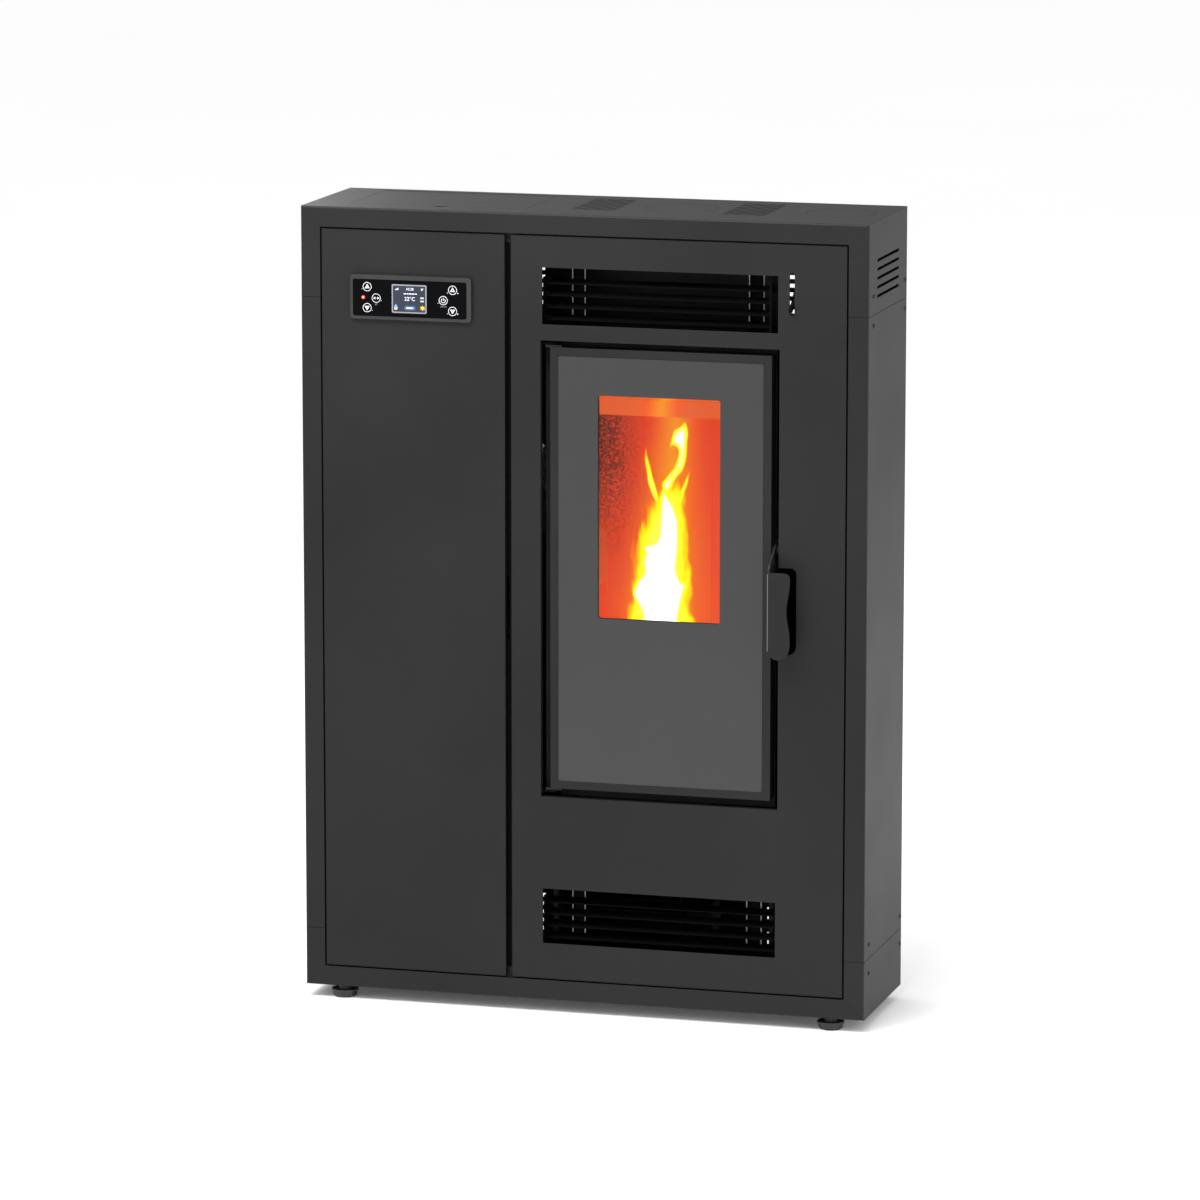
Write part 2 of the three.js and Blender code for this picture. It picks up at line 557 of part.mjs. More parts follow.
function makeAugerTube() {
  const outer = rod(auger.radius, augerPoint(0), augerPoint(augerLength), 24);
  const inner = rod(auger.radius - auger.wall, augerPoint(auger.capLow), augerPoint(augerLength - auger.capHigh), 24);
  const neckTop = up(hopper.throatZ) - gap;
  const neck = (inset, dTop) => {
    const [x0, x1] = [throat[0] + inset, throat[1] - inset];
    const shape = outline([[x0, axisZ(x0)], [x1, axisZ(x1)], [x1, neckTop + dTop], [x0, neckTop + dTop]]);
    return prism(shape, 'xz', throat[2] + inset, throat[3] - inset);
  };
  const right = fromLeft(outlet.right);
  const drop = (inset, dLow) => {
    const [x0, x1] = [right - outlet.width + inset, right - inset];
    const xEnd = augerHigh.x - inset * 2.5;
    const shape = outline([[x0, up(outlet.z) - dLow], [x1, up(outlet.z) - dLow],
      [x1, 2 * axisZ(xEnd) - axisZ(x1)], [xEnd, axisZ(xEnd)], [x0, axisZ(x0)]]);
    return prism(shape, 'xz', -outlet.depth / 2 + inset, outlet.depth / 2 - inset);
  };
  const wall = auger.wall - 1;
  const shaftHole = rod(bore(auger.shaft, auger.clearance, 20), augerPoint(-past), augerPoint(auger.capLow + past), 20);
  const bearing = rod(bore(auger.shaft, auger.clearance, 20), augerPoint(augerLength - auger.capHigh - past),
    augerPoint(augerLength - 2), 20);
  return cut(join(outer, neck(0, 0), drop(0, 0)), inner, neck(wall, past), drop(wall, past), shaftHole, bearing);
}

// Screw in its own frame: axis along +Z from the lower end plate. The flight and the shaft are one skin.
function makeAugerScrew() {
  const turn = auger.turnSteps;
  const start = auger.capLow + 5;
  const length = augerLength - auger.capHigh - 5 - start;
  const last = Math.round((length / auger.pitch) * turn);
  const points = [];
  const faces = [];
  const angle = (i) => (i / turn) * 2 * Math.PI;
  const put = (r, i, z) => points.push(r * Math.cos(angle(i)), r * Math.sin(angle(i)), z);
  for (let i = 0; i <= last; i += 1) {
    const z = start + (i / last) * (length - auger.flightThick);
    put(auger.shaft, i, z);
    put(auger.flight, i, z);
    put(auger.flight, i, z + auger.flightThick);
    put(auger.shaft, i, z + auger.flightThick);
  }
  for (let i = 0; i < turn; i += 1) put(auger.shaft, i, 2 - gearMotor.bore);
  for (let i = 0; i < turn; i += 1) put(auger.shaft, i, augerLength - 2 - auger.clearance);
  const [rootLow, rimLow, rimHigh, rootHigh] = [0, 1, 2, 3].map((k) => (i) => i * 4 + k);
  const tail = (i) => (last + 1) * 4 + (i % turn);
  const head = (i) => (last + 1) * 4 + turn + (i % turn);
  const fan = (...ring) => {
    for (let k = 1; k < ring.length - 1; k += 1) faces.push(ring[0], ring[k], ring[k + 1]);
  };
  for (let i = 0; i < last; i += 1) {
    fan(rimLow(i), rimLow(i + 1), rimHigh(i + 1), rimHigh(i));
    fan(rootLow(i), rootLow(i + 1), rimLow(i + 1), rimLow(i));
    fan(rootHigh(i), rimHigh(i), rimHigh(i + 1), rootHigh(i + 1));
    if (i < last - turn) fan(rootHigh(i), rootHigh(i + 1), rootLow(i + 1 + turn), rootLow(i + turn));
    if (i > last - turn) fan(rootHigh(i), rootHigh(i + 1), head(i + 1), head(i));
    if (i < turn - 1) fan(tail(i), tail(i + 1), rootLow(i + 1), rootLow(i));
  }
  const first = last - turn;
  fan(rootLow(0), rimLow(0), rimHigh(0), rootHigh(0));
  fan(rootLow(last), rootHigh(last), rimHigh(last), rimLow(last));
  fan(rootLow(turn - 1), tail(turn - 1), tail(0), rootLow(0), rootHigh(0), rootLow(turn));
  fan(rootHigh(first + 1), head(first + 1), head(first), rootHigh(last), rootLow(last), rootHigh(first));
  const ringOf = [...Array(turn).keys()];
  fan(...ringOf.map(tail).reverse());
  fan(...ringOf.map(head));
  const geometry = new THREE.BufferGeometry();
  geometry.setAttribute('position', new THREE.BufferAttribute(new Float32Array(points), 3));
  geometry.setIndex(faces);
  return solid(geometry);
}

// Gear motor in the auger's frame, below its lower end plate.
function makeGearMotor() {
  const half = gearMotor.size / 2;
  const gears = box(-half, half, -half, half, -gap - gearMotor.depth, -gap);
  const end = -gap - gearMotor.depth;
  const motor = rod(gearMotor.motorRadius, [0, 0, end + 1], [0, 0, end - gearMotor.motorLength], 20);
  const hole = rod(bore(auger.shaft, auger.clearance, 20), [0, 0, -gap - gearMotor.bore], [0, 0, past], 20);
  return cut(join(gears, motor), hole);
}

// Sloping duct from the auger's outlet to the inside of the fire box.
const chuteFloor = (x) => up(outlet.z) - chute.floorRise - (x - (fromLeft(outlet.right) - outlet.width));

function makeChute() {
  const right = fromLeft(outlet.right);
  const left = right - outlet.width;
  const end = fromLeft(chute.endX);
  const lean = chute.wall * Math.SQRT2;
  const duct = (inset, beyond) => {
    const floor = (x) => chuteFloor(x) + inset * Math.SQRT2;
    const roof = (x) => chuteFloor(x) + chute.height - inset * Math.SQRT2;
    const mouth = up(outlet.z) - gap + beyond;
    return prism(outline([[left + inset, mouth], [left + inset, floor(left + inset)],
      [end + beyond, floor(end + beyond)], [end + beyond, roof(end + beyond)], [right - inset, roof(right - inset)],
      [right - inset, mouth]]), 'xz', -outlet.depth / 2 + inset, outlet.depth / 2 - inset);
  };
  return cut(duct(0, 0), duct(chute.wall, lean));
}

// ---------------------------------------------------------------- fire box

const boxX = [fromLeft(firebox.x), fromLeft(firebox.x + firebox.width)];
const boxY = [inside(firebox.d), inside(firebox.d + firebox.depth)];
const boxZ = [up(firebox.z), up(firebox.z + firebox.height)];
const roomX = [boxX[0] + firebox.wall, boxX[1] - firebox.wall];
const roomBack = boxY[1] - firebox.wall;
const roomZ = [boxZ[0] + firebox.wall, boxZ[1] - firebox.wall];
const doorFace = faceOf(door);
const potX = fromLeft(pot.x);
const potY = inside(pot.d);
const smokeX = [fromLeft(smokeBox.x), fromLeft(smokeBox.x + smokeBox.width)];
const smokeY = [inside(smokeBox.d), inside(smokeBox.d + smokeBox.depth)];

function makeFirebox() {
  const [x0, x1] = boxX;
  const body = box(x0, x1, ...boxY, ...boxZ);
  const room = box(...roomX, boxY[0] - past, roomBack, ...roomZ);
  const plateFace = [x0 - firebox.flange, doorFace[1], boxZ[0] - firebox.flange, boxZ[1] + firebox.flange];
  const plate = ringXZ(plateFace, grow(doorFace, -flangeOpening.inset), boxY[0], boxY[0] + firebox.wall);
  const shelfLedge = (z) => [box(roomX[0] - 1, roomX[0] + shelf.ledge, boxY[0] + 12, roomBack - past, z - 4, z),
    box(roomX[1] - shelf.ledge, roomX[1] + 1, boxY[0] + 12, roomBack - past, z - 4, z)];
  const legs = [];
  for (const x of [x0, x1 - leg.width]) {
    for (const y of [boxY[0] + leg.front, boxY[1] - leg.depth]) {
      legs.push(box(x, x + leg.width, y, y + leg.depth, floorGap + sheet + gap, boxZ[0] + 1));
    }
  }
  const margin = gap + 0.2;
  const chuteHole = box(x0 - past, roomX[0] + past, -outlet.depth / 2 - margin, outlet.depth / 2 + margin,
    chuteFloor(roomX[0]) - margin, chuteFloor(x0) + chute.height + margin);
  const igniterHole = rod(bore(igniter.radius, gap, 12), [potX, roomBack - past, up(igniter.z)],
    [potX, boxY[1] + past, up(igniter.z)], 12);
  const intakeHole = rod(intake.radius - intake.wall, [fromLeft(intake.x), roomBack - past, up(intake.z)],
    [fromLeft(intake.x), boxY[1] + past, up(intake.z)], 24);
  const smokeHole = box(smokeX[0] + 4, smokeX[1] - 4, smokeY[0] + 4, smokeY[1] - 4, boxZ[0] - past, roomZ[0] + past);
  return cut(join(cut(body, room), plate, ...shelfLedge(up(shelf.z)), ...shelfLedge(up(baffle.z)), ...legs),
    chuteHole, igniterHole, intakeHole, smokeHole);
}

const linerY = [roomBack - gap - liner.thick, roomBack - gap];
const shelfTop = up(shelf.z) + gap + shelf.thick;

function makeShelf() {
  const plate = box(roomX[0] + gap, roomX[1] - gap, boxY[0] + 8, roomBack - gap, up(shelf.z) + gap, shelfTop);
  const half = pot.size / 2 + 1;
  const hole = box(potX - half, potX + half, potY - half, potY + half, up(shelf.z) - past, shelfTop + past);
  const ashSlots = [];
  for (let i = 0; i < 3; i += 1) {
    const y = potY - half + (i + 0.5) * (2 * half / 3);
    ashSlots.push(box(potX + half + shelf.slotStart, potX + half + shelf.slotEnd, y - shelf.slotWidth / 2,
      y + shelf.slotWidth / 2, up(shelf.z) - past, shelfTop + past));
  }
  return cut(plate, hole, ...ashSlots);
}

function makePot() {
  const half = pot.size / 2;
  const [z0, z1] = [up(pot.z), up(pot.z + pot.height)];
  const cup = box(potX - half, potX + half, potY - half, potY + half, z0, z1);
  const inner = loft([potX - half + pot.wall + 5, potX + half - pot.wall - 5, potY - half + pot.wall + 5,
    potY + half - pot.wall - 5], z0 + pot.wall + 1,
  [potX - half + pot.wall, potX + half - pot.wall, potY - half + pot.wall, potY + half - pot.wall], z1 + 1);
  const rim = box(potX - half - pot.rim, potX + half + pot.rim, potY - half - pot.rim, potY + half + pot.rim,
    shelfTop + gap, shelfTop + gap + 4);
  const holes = [];
  for (const dx of [-20, 0, 20]) {
    for (const dy of [-20, 0, 20]) {
      holes.push(rod(pot.holes, [potX + dx, potY + dy, z0 - past], [potX + dx, potY + dy, z0 + pot.wall * 3], 6));
    }
    for (const z of [z0 + 30, z0 + 48]) {
      holes.push(rod(pot.holes, [potX - pot.size, potY + dx, z], [potX + pot.size, potY + dx, z], 6));
    }
  }
  const spark = rod(bore(igniter.radius, gap, 12), [potX, potY, up(igniter.z)], [potX, potY + pot.size, up(igniter.z)],
    12);
  return cut(join(cup, rim), inner, ...holes, spark);
}

function makeLiner() {
  const [x0, x1] = [roomX[0] + liner.side, roomX[1] - liner.side];
  const plate = box(x0, x1, linerY[0] + liner.ribDepth, linerY[1], shelfTop + gap, up(liner.top));
  const pitch = (x1 - x0) / liner.ribs;
  const ribs = [];
  for (let i = 0; i < liner.ribs; i += 1) {
    const x = x0 + (i + 0.25) * pitch;
    ribs.push(box(x, x + pitch / 2, linerY[0], linerY[1] - 2, shelfTop + gap + 10, up(liner.top) - 10));
  }
  const hole = rod(bore(igniter.radius, 1, 12), [potX, linerY[0] - past, up(igniter.z)],
    [potX, linerY[1] + past, up(igniter.z)], 12);
  return cut(join(plate, ...ribs), hole);
}

function makeBaffle() {
  const z0 = up(baffle.z) + gap;
  const y0 = inside(baffle.d);
  const plate = box(roomX[0] + gap, roomX[1] - gap, y0, roomBack - gap, z0, z0 + baffle.thick);
  const lip = box(roomX[0] + shelf.ledge + 2, roomX[1] - shelf.ledge - 2, y0, y0 + baffle.thick, z0 - baffle.lip,
    z0 + 1);
  return join(plate, lip);
}

function makeAshPan() {
  const [x0, x1] = [roomX[0] + ashPan.margin, roomX[0] + ashPan.margin + ashPan.width];
  const [y0, y1] = [boxY[0] + ashPan.front, roomBack - ashPan.back];
  const z0 = roomZ[0] + gap;
  const pan = box(x0, x1, y0, y1, z0, z0 + ashPan.height);
  const hollow = box(x0 + ashPan.wall, x1 - ashPan.wall, y0 + ashPan.wall, y1 - ashPan.wall, z0 + ashPan.wall,
    z0 + ashPan.height + past);
  const middle = (x0 + x1) / 2;
  const grip = box(middle - ashPan.grip / 2, middle + ashPan.grip / 2, y0 - 6, y0 + 1, z0 + ashPan.height - 8,
    z0 + ashPan.height - 5);
  return join(cut(pan, hollow), grip);
}

function makeIgniter() {
  const tip = potY + pot.size / 2 + 1;
  const head = tip + igniter.reach;
  const cartridge = rod(igniter.radius, [potX, tip - pot.wall, up(igniter.z)], [potX, head, up(igniter.z)], 12);
  const block = rod(igniter.headRadius, [potX, boxY[1] + gap, up(igniter.z)],
    [potX, boxY[1] + gap + igniter.headLength, up(igniter.z)], 12);
  return join(cartridge, block);
}

// ---------------------------------------------------------------- door

const doorFront = inside(door.d);
const doorBack = doorFront + door.depth;
const glassFace = grow(doorFace, -door.rim);
const glassBack = doorFront + glass.thick;
const plateFront = glassBack + gap;
const plateBack = plateFront + door.plate;
const viewFace = faceOf(viewHole);
const hingeX = fromLeft(doorHinge.x);
const hingeY = inside(doorHinge.d);
const handleX = fromLeft(handle.x);
const pivot = [inside(handle.pivotD), up(handle.pivotZ)];

function makeDoorFrame() {
  const [x0, x1, z0, z1] = doorFace;
  const slab = box(x0, x1, doorFront, doorBack, z0, z1);
  const [gx0, gx1, gz0, gz1] = grow(glassFace, glass.fit);
  const pocket = box(gx0, gx1, doorFront - past, plateFront, gz0, gz1);
  const hollow = box(gx0, gx1, plateBack, doorBack + past, gz0, gz1);
  const [vx0, vx1, vz0, vz1] = viewFace;
  const hole = prism(roundRect(vx0, vx1, vz0, vz1, 3), 'xz', plateFront - past, plateBack + past, 3);
  const ear = (zLow) => box(hingeX - doorHinge.earReach, hingeX - doorHinge.earReach + doorHinge.earLength,
    hingeY - doorHinge.earWidth / 2, hingeY + doorHinge.earWidth / 2, zLow, zLow + doorHinge.ear);
  const pinHole = rod(bore(doorHinge.pin, gap), [hingeX, hingeY, z0 - doorHinge.ear - past],
    [hingeX, hingeY, z1 + doorHinge.ear + past]);
  const cutRoom = box(x0 - past, x1 + past, front - past, back, z0, z1);
  const pinCuts = cut(pinHole, cutRoom);
  const shank = rod(handle.pivotRadius, [x1 - 4, ...pivot], [handleX + handle.thick + gap + 1, ...pivot]);
  const head = rod(handle.pivotRadius * 1.6, [handleX + handle.thick + gap, ...pivot],
    [handleX + handle.thick + gap + 3, ...pivot], 6);
  const shoulder = rod(handle.pivotRadius * 1.5, [x1 - 1, ...pivot], [handleX - gap, ...pivot]);
  return join(cut(join(slab, ear(z0 - doorHinge.ear), ear(z1)), pocket, hollow, hole, pinCuts), shank, shoulder, head);
}

function makeDoorGlass() {
  const [x0, x1, z0, z1] = glassFace;
  return prism(roundRect(x0, x1, z0, z1, 2), 'xz', doorFront, glassBack, 2);
}

function makeViewGlass() {
  const [x0, x1, z0, z1] = grow(viewFace, viewGlass.overlap);
  return box(x0, x1, plateBack + gap, plateBack + gap + viewGlass.thick, z0, z1);
}

// Z-shaped strip: its foot lies on the door plate and its lip holds the inner glass.
function makeClamp(sign) {
  const edge = sign < 0 ? viewFace[0] - viewGlass.overlap : viewFace[1] + viewGlass.overlap;
  const t = clampStrip.thick;
  const low = plateBack + gap;
  const high = plateBack + gap + viewGlass.thick + gap;
  const points = [[-clampStrip.foot, low], [-1, low], [-1, high], [clampStrip.hold, high], [clampStrip.hold, high + t],
    [-1 - t, high + t], [-1 - t, low + t], [-clampStrip.foot, low + t]];
  const placed = points.map(([u, v]) => [edge - sign * u, v]);
  return prism(outline(sign < 0 ? placed : placed.reverse()), 'xy', viewFace[2] + clampStrip.inset,
    viewFace[3] - clampStrip.inset);
}

function makeGasket() {
  const middle = grow(doorFace, -door.rim / 2);
  return ringXZ(grow(middle, gasket.width / 2), grow(middle, -gasket.width / 2), doorBack + gap,
    doorBack + gap + gasket.thick);
}

// Bracket on the fire box flange with the pin that the door's ear turns on.
function makeHingeBracket(sign) {
  const edge = sign > 0 ? doorFace[3] : doorFace[2];
  const z = (offset) => edge + sign * offset;
  const span = (a, b) => [Math.min(z(a), z(b)), Math.max(z(a), z(b))];
  const [x0, x1] = [boxX[0] - firebox.flange + 2, hingeX + 9];
  const low = doorHinge.ear + gap + 0.1;
  const high = low + doorHinge.ear;
  const flangeEnd = sign > 0 ? boxZ[1] + firebox.flange - edge : edge - (boxZ[0] - firebox.flange);
  const arm = box(x0, x1, hingeY - doorHinge.earWidth / 2 + 1, boxY[0] - gap, ...span(low, high));
  const tab = box(x0, x1, boxY[0] - gap - sheet, boxY[0] - gap, ...span(low, flangeEnd));
  const pin = rod(doorHinge.pin, [hingeX, hingeY, span(gap, high)[0]], [hingeX, hingeY, span(gap, high)[1]]);
  return join(arm, tab, pin);
}

function makeHandle() {
  const [py, pz] = pivot;
  const face = front - handle.proud;
  const faceBack = face + handle.thick;
  const noseEnd = inside(handle.noseD);
  const side0 = new THREE.Shape();
  side0.moveTo(noseEnd, pz + handle.noseTop);
  side0.lineTo(py + handle.boss, pz + handle.noseTop);
  side0.absarc(py, pz, handle.boss, 0.35, 2.2);
  side0.lineTo(front - 14, pz - 10);
  side0.quadraticCurveTo(face, pz - 16, face, up(handle.top) - 4);
  side0.lineTo(face, up(handle.bottom) + 6);
  side0.lineTo(face + handle.arm, up(handle.bottom) + 12);
  side0.lineTo(face + handle.arm, up(handle.top) - 14);
  side0.quadraticCurveTo(face + handle.arm, up(handle.top), py - 6, pz - handle.boss - 2);
  side0.lineTo(py + handle.boss, pz + handle.noseTop - handle.noseHeight);
  side0.lineTo(noseEnd, pz + handle.noseTop - handle.noseHeight);
  const plate = prism(side0, 'yz', handleX, handleX + handle.thick, 5);
  const right = handleX + handle.reach;
  const [z0, z1] = [up(handle.bottom), up(handle.top)];
  const height = z1 - z0;
  const pad = new THREE.Shape();
  pad.moveTo(handleX, z0 + 10);
  pad.quadraticCurveTo(handleX + 6, z0, handleX + 16, z0);
  pad.quadraticCurveTo(right, z0 + 2, right, z0 + height * 0.2);
  pad.bezierCurveTo(right, z0 + height * 0.38, right - 5, z0 + height * 0.42, right - 5, z0 + height * 0.56);
  pad.bezierCurveTo(right - 5, z0 + height * 0.7, right, z0 + height * 0.76, right, z1 - 9);
  pad.quadraticCurveTo(right, z1, right - 9, z1);
  pad.lineTo(handleX, z1);
  const paddle = prism(pad, 'xz', face, faceBack, 5);
  const hole = rod(bore(handle.pivotRadius, gap), [handleX - past, ...pivot], [handleX + handle.thick + past, ...pivot]);
  return cut(join(plate, paddle), hole);
}

function makeKeeper() {
  const x0 = boxX[1] + gap;
  const y = inside(keeper.d) + 6;
  const z = pivot[1] + handle.noseTop + keeper.gap + keeper.radius;
  const plate = box(x0, x0 + keeper.plate, boxY[0] + firebox.wall + gap, y + 14, z - 14, z + 14);
  const stud = rod(keeper.radius, [x0 + 1, y, z], [handleX + handle.thick + 6, y, z], 12);
  return join(plate, stud);
}

// ---------------------------------------------------------------- louvres

const slatX = [fromLeft(louvre.left) + 3, fromLeft(louvre.right) - 2.5];

// Frame behind a window: flange, two end plates, two rails and two upright channels. The left end plate
// is open in front of the slats' strip and above the top slat.
function louvreFrame(windowFace, right, depth, topSlatZ) {
  const [, , z0, z1] = grow(windowFace, louvre.margin);
  const left = fromLeft(louvre.left);
  const y0 = front + sheet + gap;
  const y1 = inside(depth);
  const flange = ringXZ([left - louvre.plate - louvre.flange, right + louvre.plate + louvre.flange, z0, z1],
    [left, Math.max(right, windowFace[1] + 1), windowFace[2] - 1, windowFace[3] + 1], y0, y0 + sheet);
  const [low, high] = [z0 + louvre.plate + sidePort.rim, z1 - louvre.plate - sidePort.rim];
  const [beside, yFront] = [sidePort.strip / 2, y0 + sheet];
  const [portLeft, portRight] = [left - louvre.plate - past, left + past];
  const leftPlate = cut(box(left - louvre.plate, left, y0, y1, z0, z1),
    box(portLeft, portRight, yFront, slatY - beside, low, high),
    box(portLeft, portRight, yFront, y1 - sidePort.rim, topSlatZ + beside, high));
  const parts = [flange, leftPlate, box(right, right + louvre.plate, y0, y1, z0, z1)];
  for (const z of [z0, z1 - louvre.plate]) {
    parts.push(box(left - louvre.plate, right + louvre.plate, y0, y1, z, z + louvre.plate));
  }
  strut.x.forEach((x, i) => {
    const [u0, u1] = [fromLeft(x), fromLeft(x) + strut.width[i]];
    const [s0, s1] = [inside(strut.d), inside(strut.d + strut.depth)];
    parts.push(cut(box(u0, u1, s0, s1, z0 + 1, z1 - 1),
      box(u0 + strut.wall, u1 - strut.wall, s0 - past, s1 - strut.wall, z0 - past, z1 + past)));
  });
  return join(...parts);
}

const slatZ = (i) => up(slat.topZ - i * slat.pitch);
const slatY = inside(slat.d);

function makeUpperLouvreFrame() {
  const right = fromLeft(louvre.right);
  const holes = [];
  for (let i = 0; i < slat.count; i += 1) {
    const radius = bore(i === 0 ? lever.shaft : slat.stub, gap, 12);
    holes.push(rod(radius, [right - past, slatY, slatZ(i)], [right + past, slatY, slatZ(i)], 12));
    holes.push(rod(bore(slat.stub, gap, 12), [fromLeft(louvre.left) - past, slatY, slatZ(i)],
      [fromLeft(louvre.left) + past, slatY, slatZ(i)], 12));
  }
  return cut(louvreFrame(faceOf(upperWindow), right, louvre.depth, slatZ(0)), ...holes);
}

const linkAngle = rad(link.angle);
const linkPin = [link.radius * Math.cos(linkAngle), link.radius * Math.sin(linkAngle)];
const linkX = slatX[0] + link.inset;

// Slat about its own axis, blade level: it is turned to its tilt when placed.
function makeSlat(index) {
  const tilt = rad(slat.tilt);
  const half = slat.chord / 2;
  const blade = box(slatX[0], slatX[1], -half, half, -slat.thick / 2, slat.thick / 2);
  const stubEnd = index === 0 ? fromLeft(leverSlot.x) + lever.thick / 2 : fromLeft(louvre.right) + louvre.plate;
  const left = rod(slat.stub, [fromLeft(louvre.left) - louvre.plate, 0, 0], [slatX[0] + 4, 0, 0], 12);
  const right = rod(index === 0 ? lever.shaft : slat.stub, [slatX[1] - 4, 0, 0],
    [index === 0 ? stubEnd - lever.thick - gap : stubEnd, 0, 0], 12);
  const [cy, cz] = [
    linkPin[0] * Math.cos(tilt) + linkPin[1] * Math.sin(tilt),
    -linkPin[0] * Math.sin(tilt) + linkPin[1] * Math.cos(tilt),
  ];
  const earX = linkX + link.thick + gap;
  const ear = prism(outline([[half - 8, -slat.thick / 2], [half, -slat.thick / 2], [cy + 2, cz - 2], [cy + 2, cz + 2],
    [cy - 2, cz + 2], [half - 8, slat.thick / 2]]), 'yz', earX, earX + link.ear);
  const pin = rod(link.pin, [linkX - 0.5, cy, cz], [earX + 0.5, cy, cz], 8);
  return join(blade, left, right, ear, pin);
}

function makeLinkBar() {
  const low = slatZ(slat.count - 1) + linkPin[1] - link.end;
  const high = slatZ(0) + linkPin[1] + link.end;
  const y = slatY + link.radius - 1;
  const bar = box(linkX, linkX + link.thick, y - link.width / 2, y + link.width / 2, low, high);
  const holes = [];
  for (let i = 0; i < slat.count; i += 1) {
    const z = slatZ(i) + linkPin[1];
    const fit = link.pin + link.play;
    holes.push(box(linkX - past, linkX + past, slatY + linkPin[0] - fit, slatY + link.radius + fit, z - fit, z + fit));
  }
  return cut(bar, ...holes);
}

// Lever about the top slat's axis, pointing straight forward: turned down when placed.
function makeLever() {
  const half = lever.width / 2;
  const shape = new THREE.Shape();
  shape.moveTo(0, -half - 1.5);
  shape.absarc(0, 0, half + 1.5, -Math.PI / 2, Math.PI / 2);
  shape.lineTo(-lever.length * 0.6, half);
  shape.quadraticCurveTo(-lever.length * 0.85, half, -lever.length, half + 2);
  shape.quadraticCurveTo(-lever.length - 2, 0, -lever.length + 1, -half + 1);
  shape.quadraticCurveTo(-lever.length * 0.8, -half, -lever.length * 0.6, -half);
  const x = fromLeft(leverSlot.x);
  return prism(shape, 'yz', x - lever.thick / 2, x + lever.thick / 2, 5);
}

function makeLowerLouvre() {
  const right = fromLeft(louvre.lowerRight);
  const slats = [];
  for (let i = 0; i < fixedSlat.count; i += 1) {
    for (const [x0, chord] of [[slatX[0], slat.chord], [slatX[0] - 4, slat.chord / 3]]) {
      const geometry = new THREE.BoxGeometry(right + 1 - x0, chord, slat.thick);
      geometry.rotateX(rad(slat.tilt));
      geometry.translate((right + 1 + x0) / 2, slatY, up(fixedSlat.topZ - i * fixedSlat.pitch));
      slats.push(solid(geometry));
    }
  }
  return join(louvreFrame(faceOf(lowerWindow), right, louvre.lowerDepth, up(fixedSlat.topZ)), ...slats);
}

// ---------------------------------------------------------------- smoke side

const fanX = fromLeft(fan.x);
const fanZ = up(fan.z);
const fanFront = smokeY[1] + gap;
const fanBack = fanFront + fan.depth;

function makeSmokeBox() {
  const t = smokeBox.wall;
  const outer = box(...smokeX, ...smokeY, up(smokeBox.z), boxZ[0] - gap);
  const inner = box(smokeX[0] + t, smokeX[1] - t, smokeY[0] + t, smokeY[1] - t, up(smokeBox.z) + t, boxZ[0] + past);
  const hole = rod(fan.inlet, [fanX, smokeY[1] - past, fanZ], [fanX, smokeY[1] + past, fanZ], 24);
  return cut(outer, inner, hole);
}

function makeFanHousing() {
  const t = fan.wall;
  const right = fromLeft(fanOutlet.right);
  const scroll = (inset) => join(
    rod(fan.radius - inset, [fanX, fanFront + inset, fanZ], [fanX, fanBack - inset, fanZ], 32),
    box(fanX, right - inset, fanFront + inset, fanBack - inset, up(fanOutlet.z) + inset, fanZ + fan.radius - inset));
  const inletHole = rod(fan.inlet, [fanX, fanFront - past, fanZ], [fanX, fanFront + past, fanZ], 24);
  const shaftHole = rod(bore(fan.shaft, 1, 12), [fanX, fanBack - past, fanZ], [fanX, fanBack + past, fanZ], 12);
  const spigotHole = rod(spigot.radius - spigot.wall, [fromLeft(fanOutlet.spigotX), fanBack - past,
    up(fanOutlet.spigotZ)], [fromLeft(fanOutlet.spigotX), fanBack + past, up(fanOutlet.spigotZ)], 32);
  return cut(scroll(0), scroll(t), inletHole, shaftHole, spigotHole);
}

// Disc with straight blades round the hub and a shaft into the motor.
function makeImpeller() {
  const y0 = fanFront + fan.wall + 5;
  const y1 = fanBack - fan.wall - 4;
  const disc = rod(fan.wheel, [fanX, y1 - 2, fanZ], [fanX, y1, fanZ], 24);
  const hub = rod(fan.hub, [fanX, y0 + 6, fanZ], [fanX, y1, fanZ], 12);
  const shaft = rod(fan.shaft, [fanX, y1 - 4, fanZ], [fanX, fanBack + gap + 20, fanZ], 12);
  const blades = [];
  for (let i = 0; i < fan.blades; i += 1) {
    const geometry = new THREE.BoxGeometry(fan.wheel - fan.hub - 4, y1 - y0, 2);
    geometry.rotateY(rad(-25));
    geometry.translate((fan.wheel + fan.hub) / 2, (y0 + y1) / 2 - 0.5, 0);
    geometry.rotateY((i / fan.blades) * 2 * Math.PI);
    geometry.translate(fanX, 0, fanZ);
    blades.push(solid(geometry));
  }
  const trim = rod(fan.wheel, [fanX, y0 - past, fanZ], [fanX, y1, fanZ], 24);
  return join(disc, hub, shaft, join(...blades).intersect(trim));
}

function makeFanMotor() {
  const y0 = fanBack + gap;
  const can = rod(fanMotor.radius, [fanX, y0 + 4, fanZ], [fanX, y0 + fanMotor.length, fanZ], 24);
  const plate = rod(fanMotor.radius + 5, [fanX, y0, fanZ], [fanX, y0 + 5, fanZ], 24);
  const hole = rod(bore(fan.shaft, gap, 12), [fanX, y0 - past, fanZ], [fanX, y0 + 22, fanZ], 12);
  return cut(join(can, plate), hole);
}

function pipe(x, z, radius, wall, y0, y1, flangeRadius) {
  const point = (y) => [fromLeft(x), y, up(z)];
  const outer = join(rod(radius, point(y0), point(y1), 32), rod(flangeRadius, point(y0), point(y0 + 3), 32));
  return cut(outer, rod(radius - wall, point(y0 - past), point(y1 + past), 32));
}

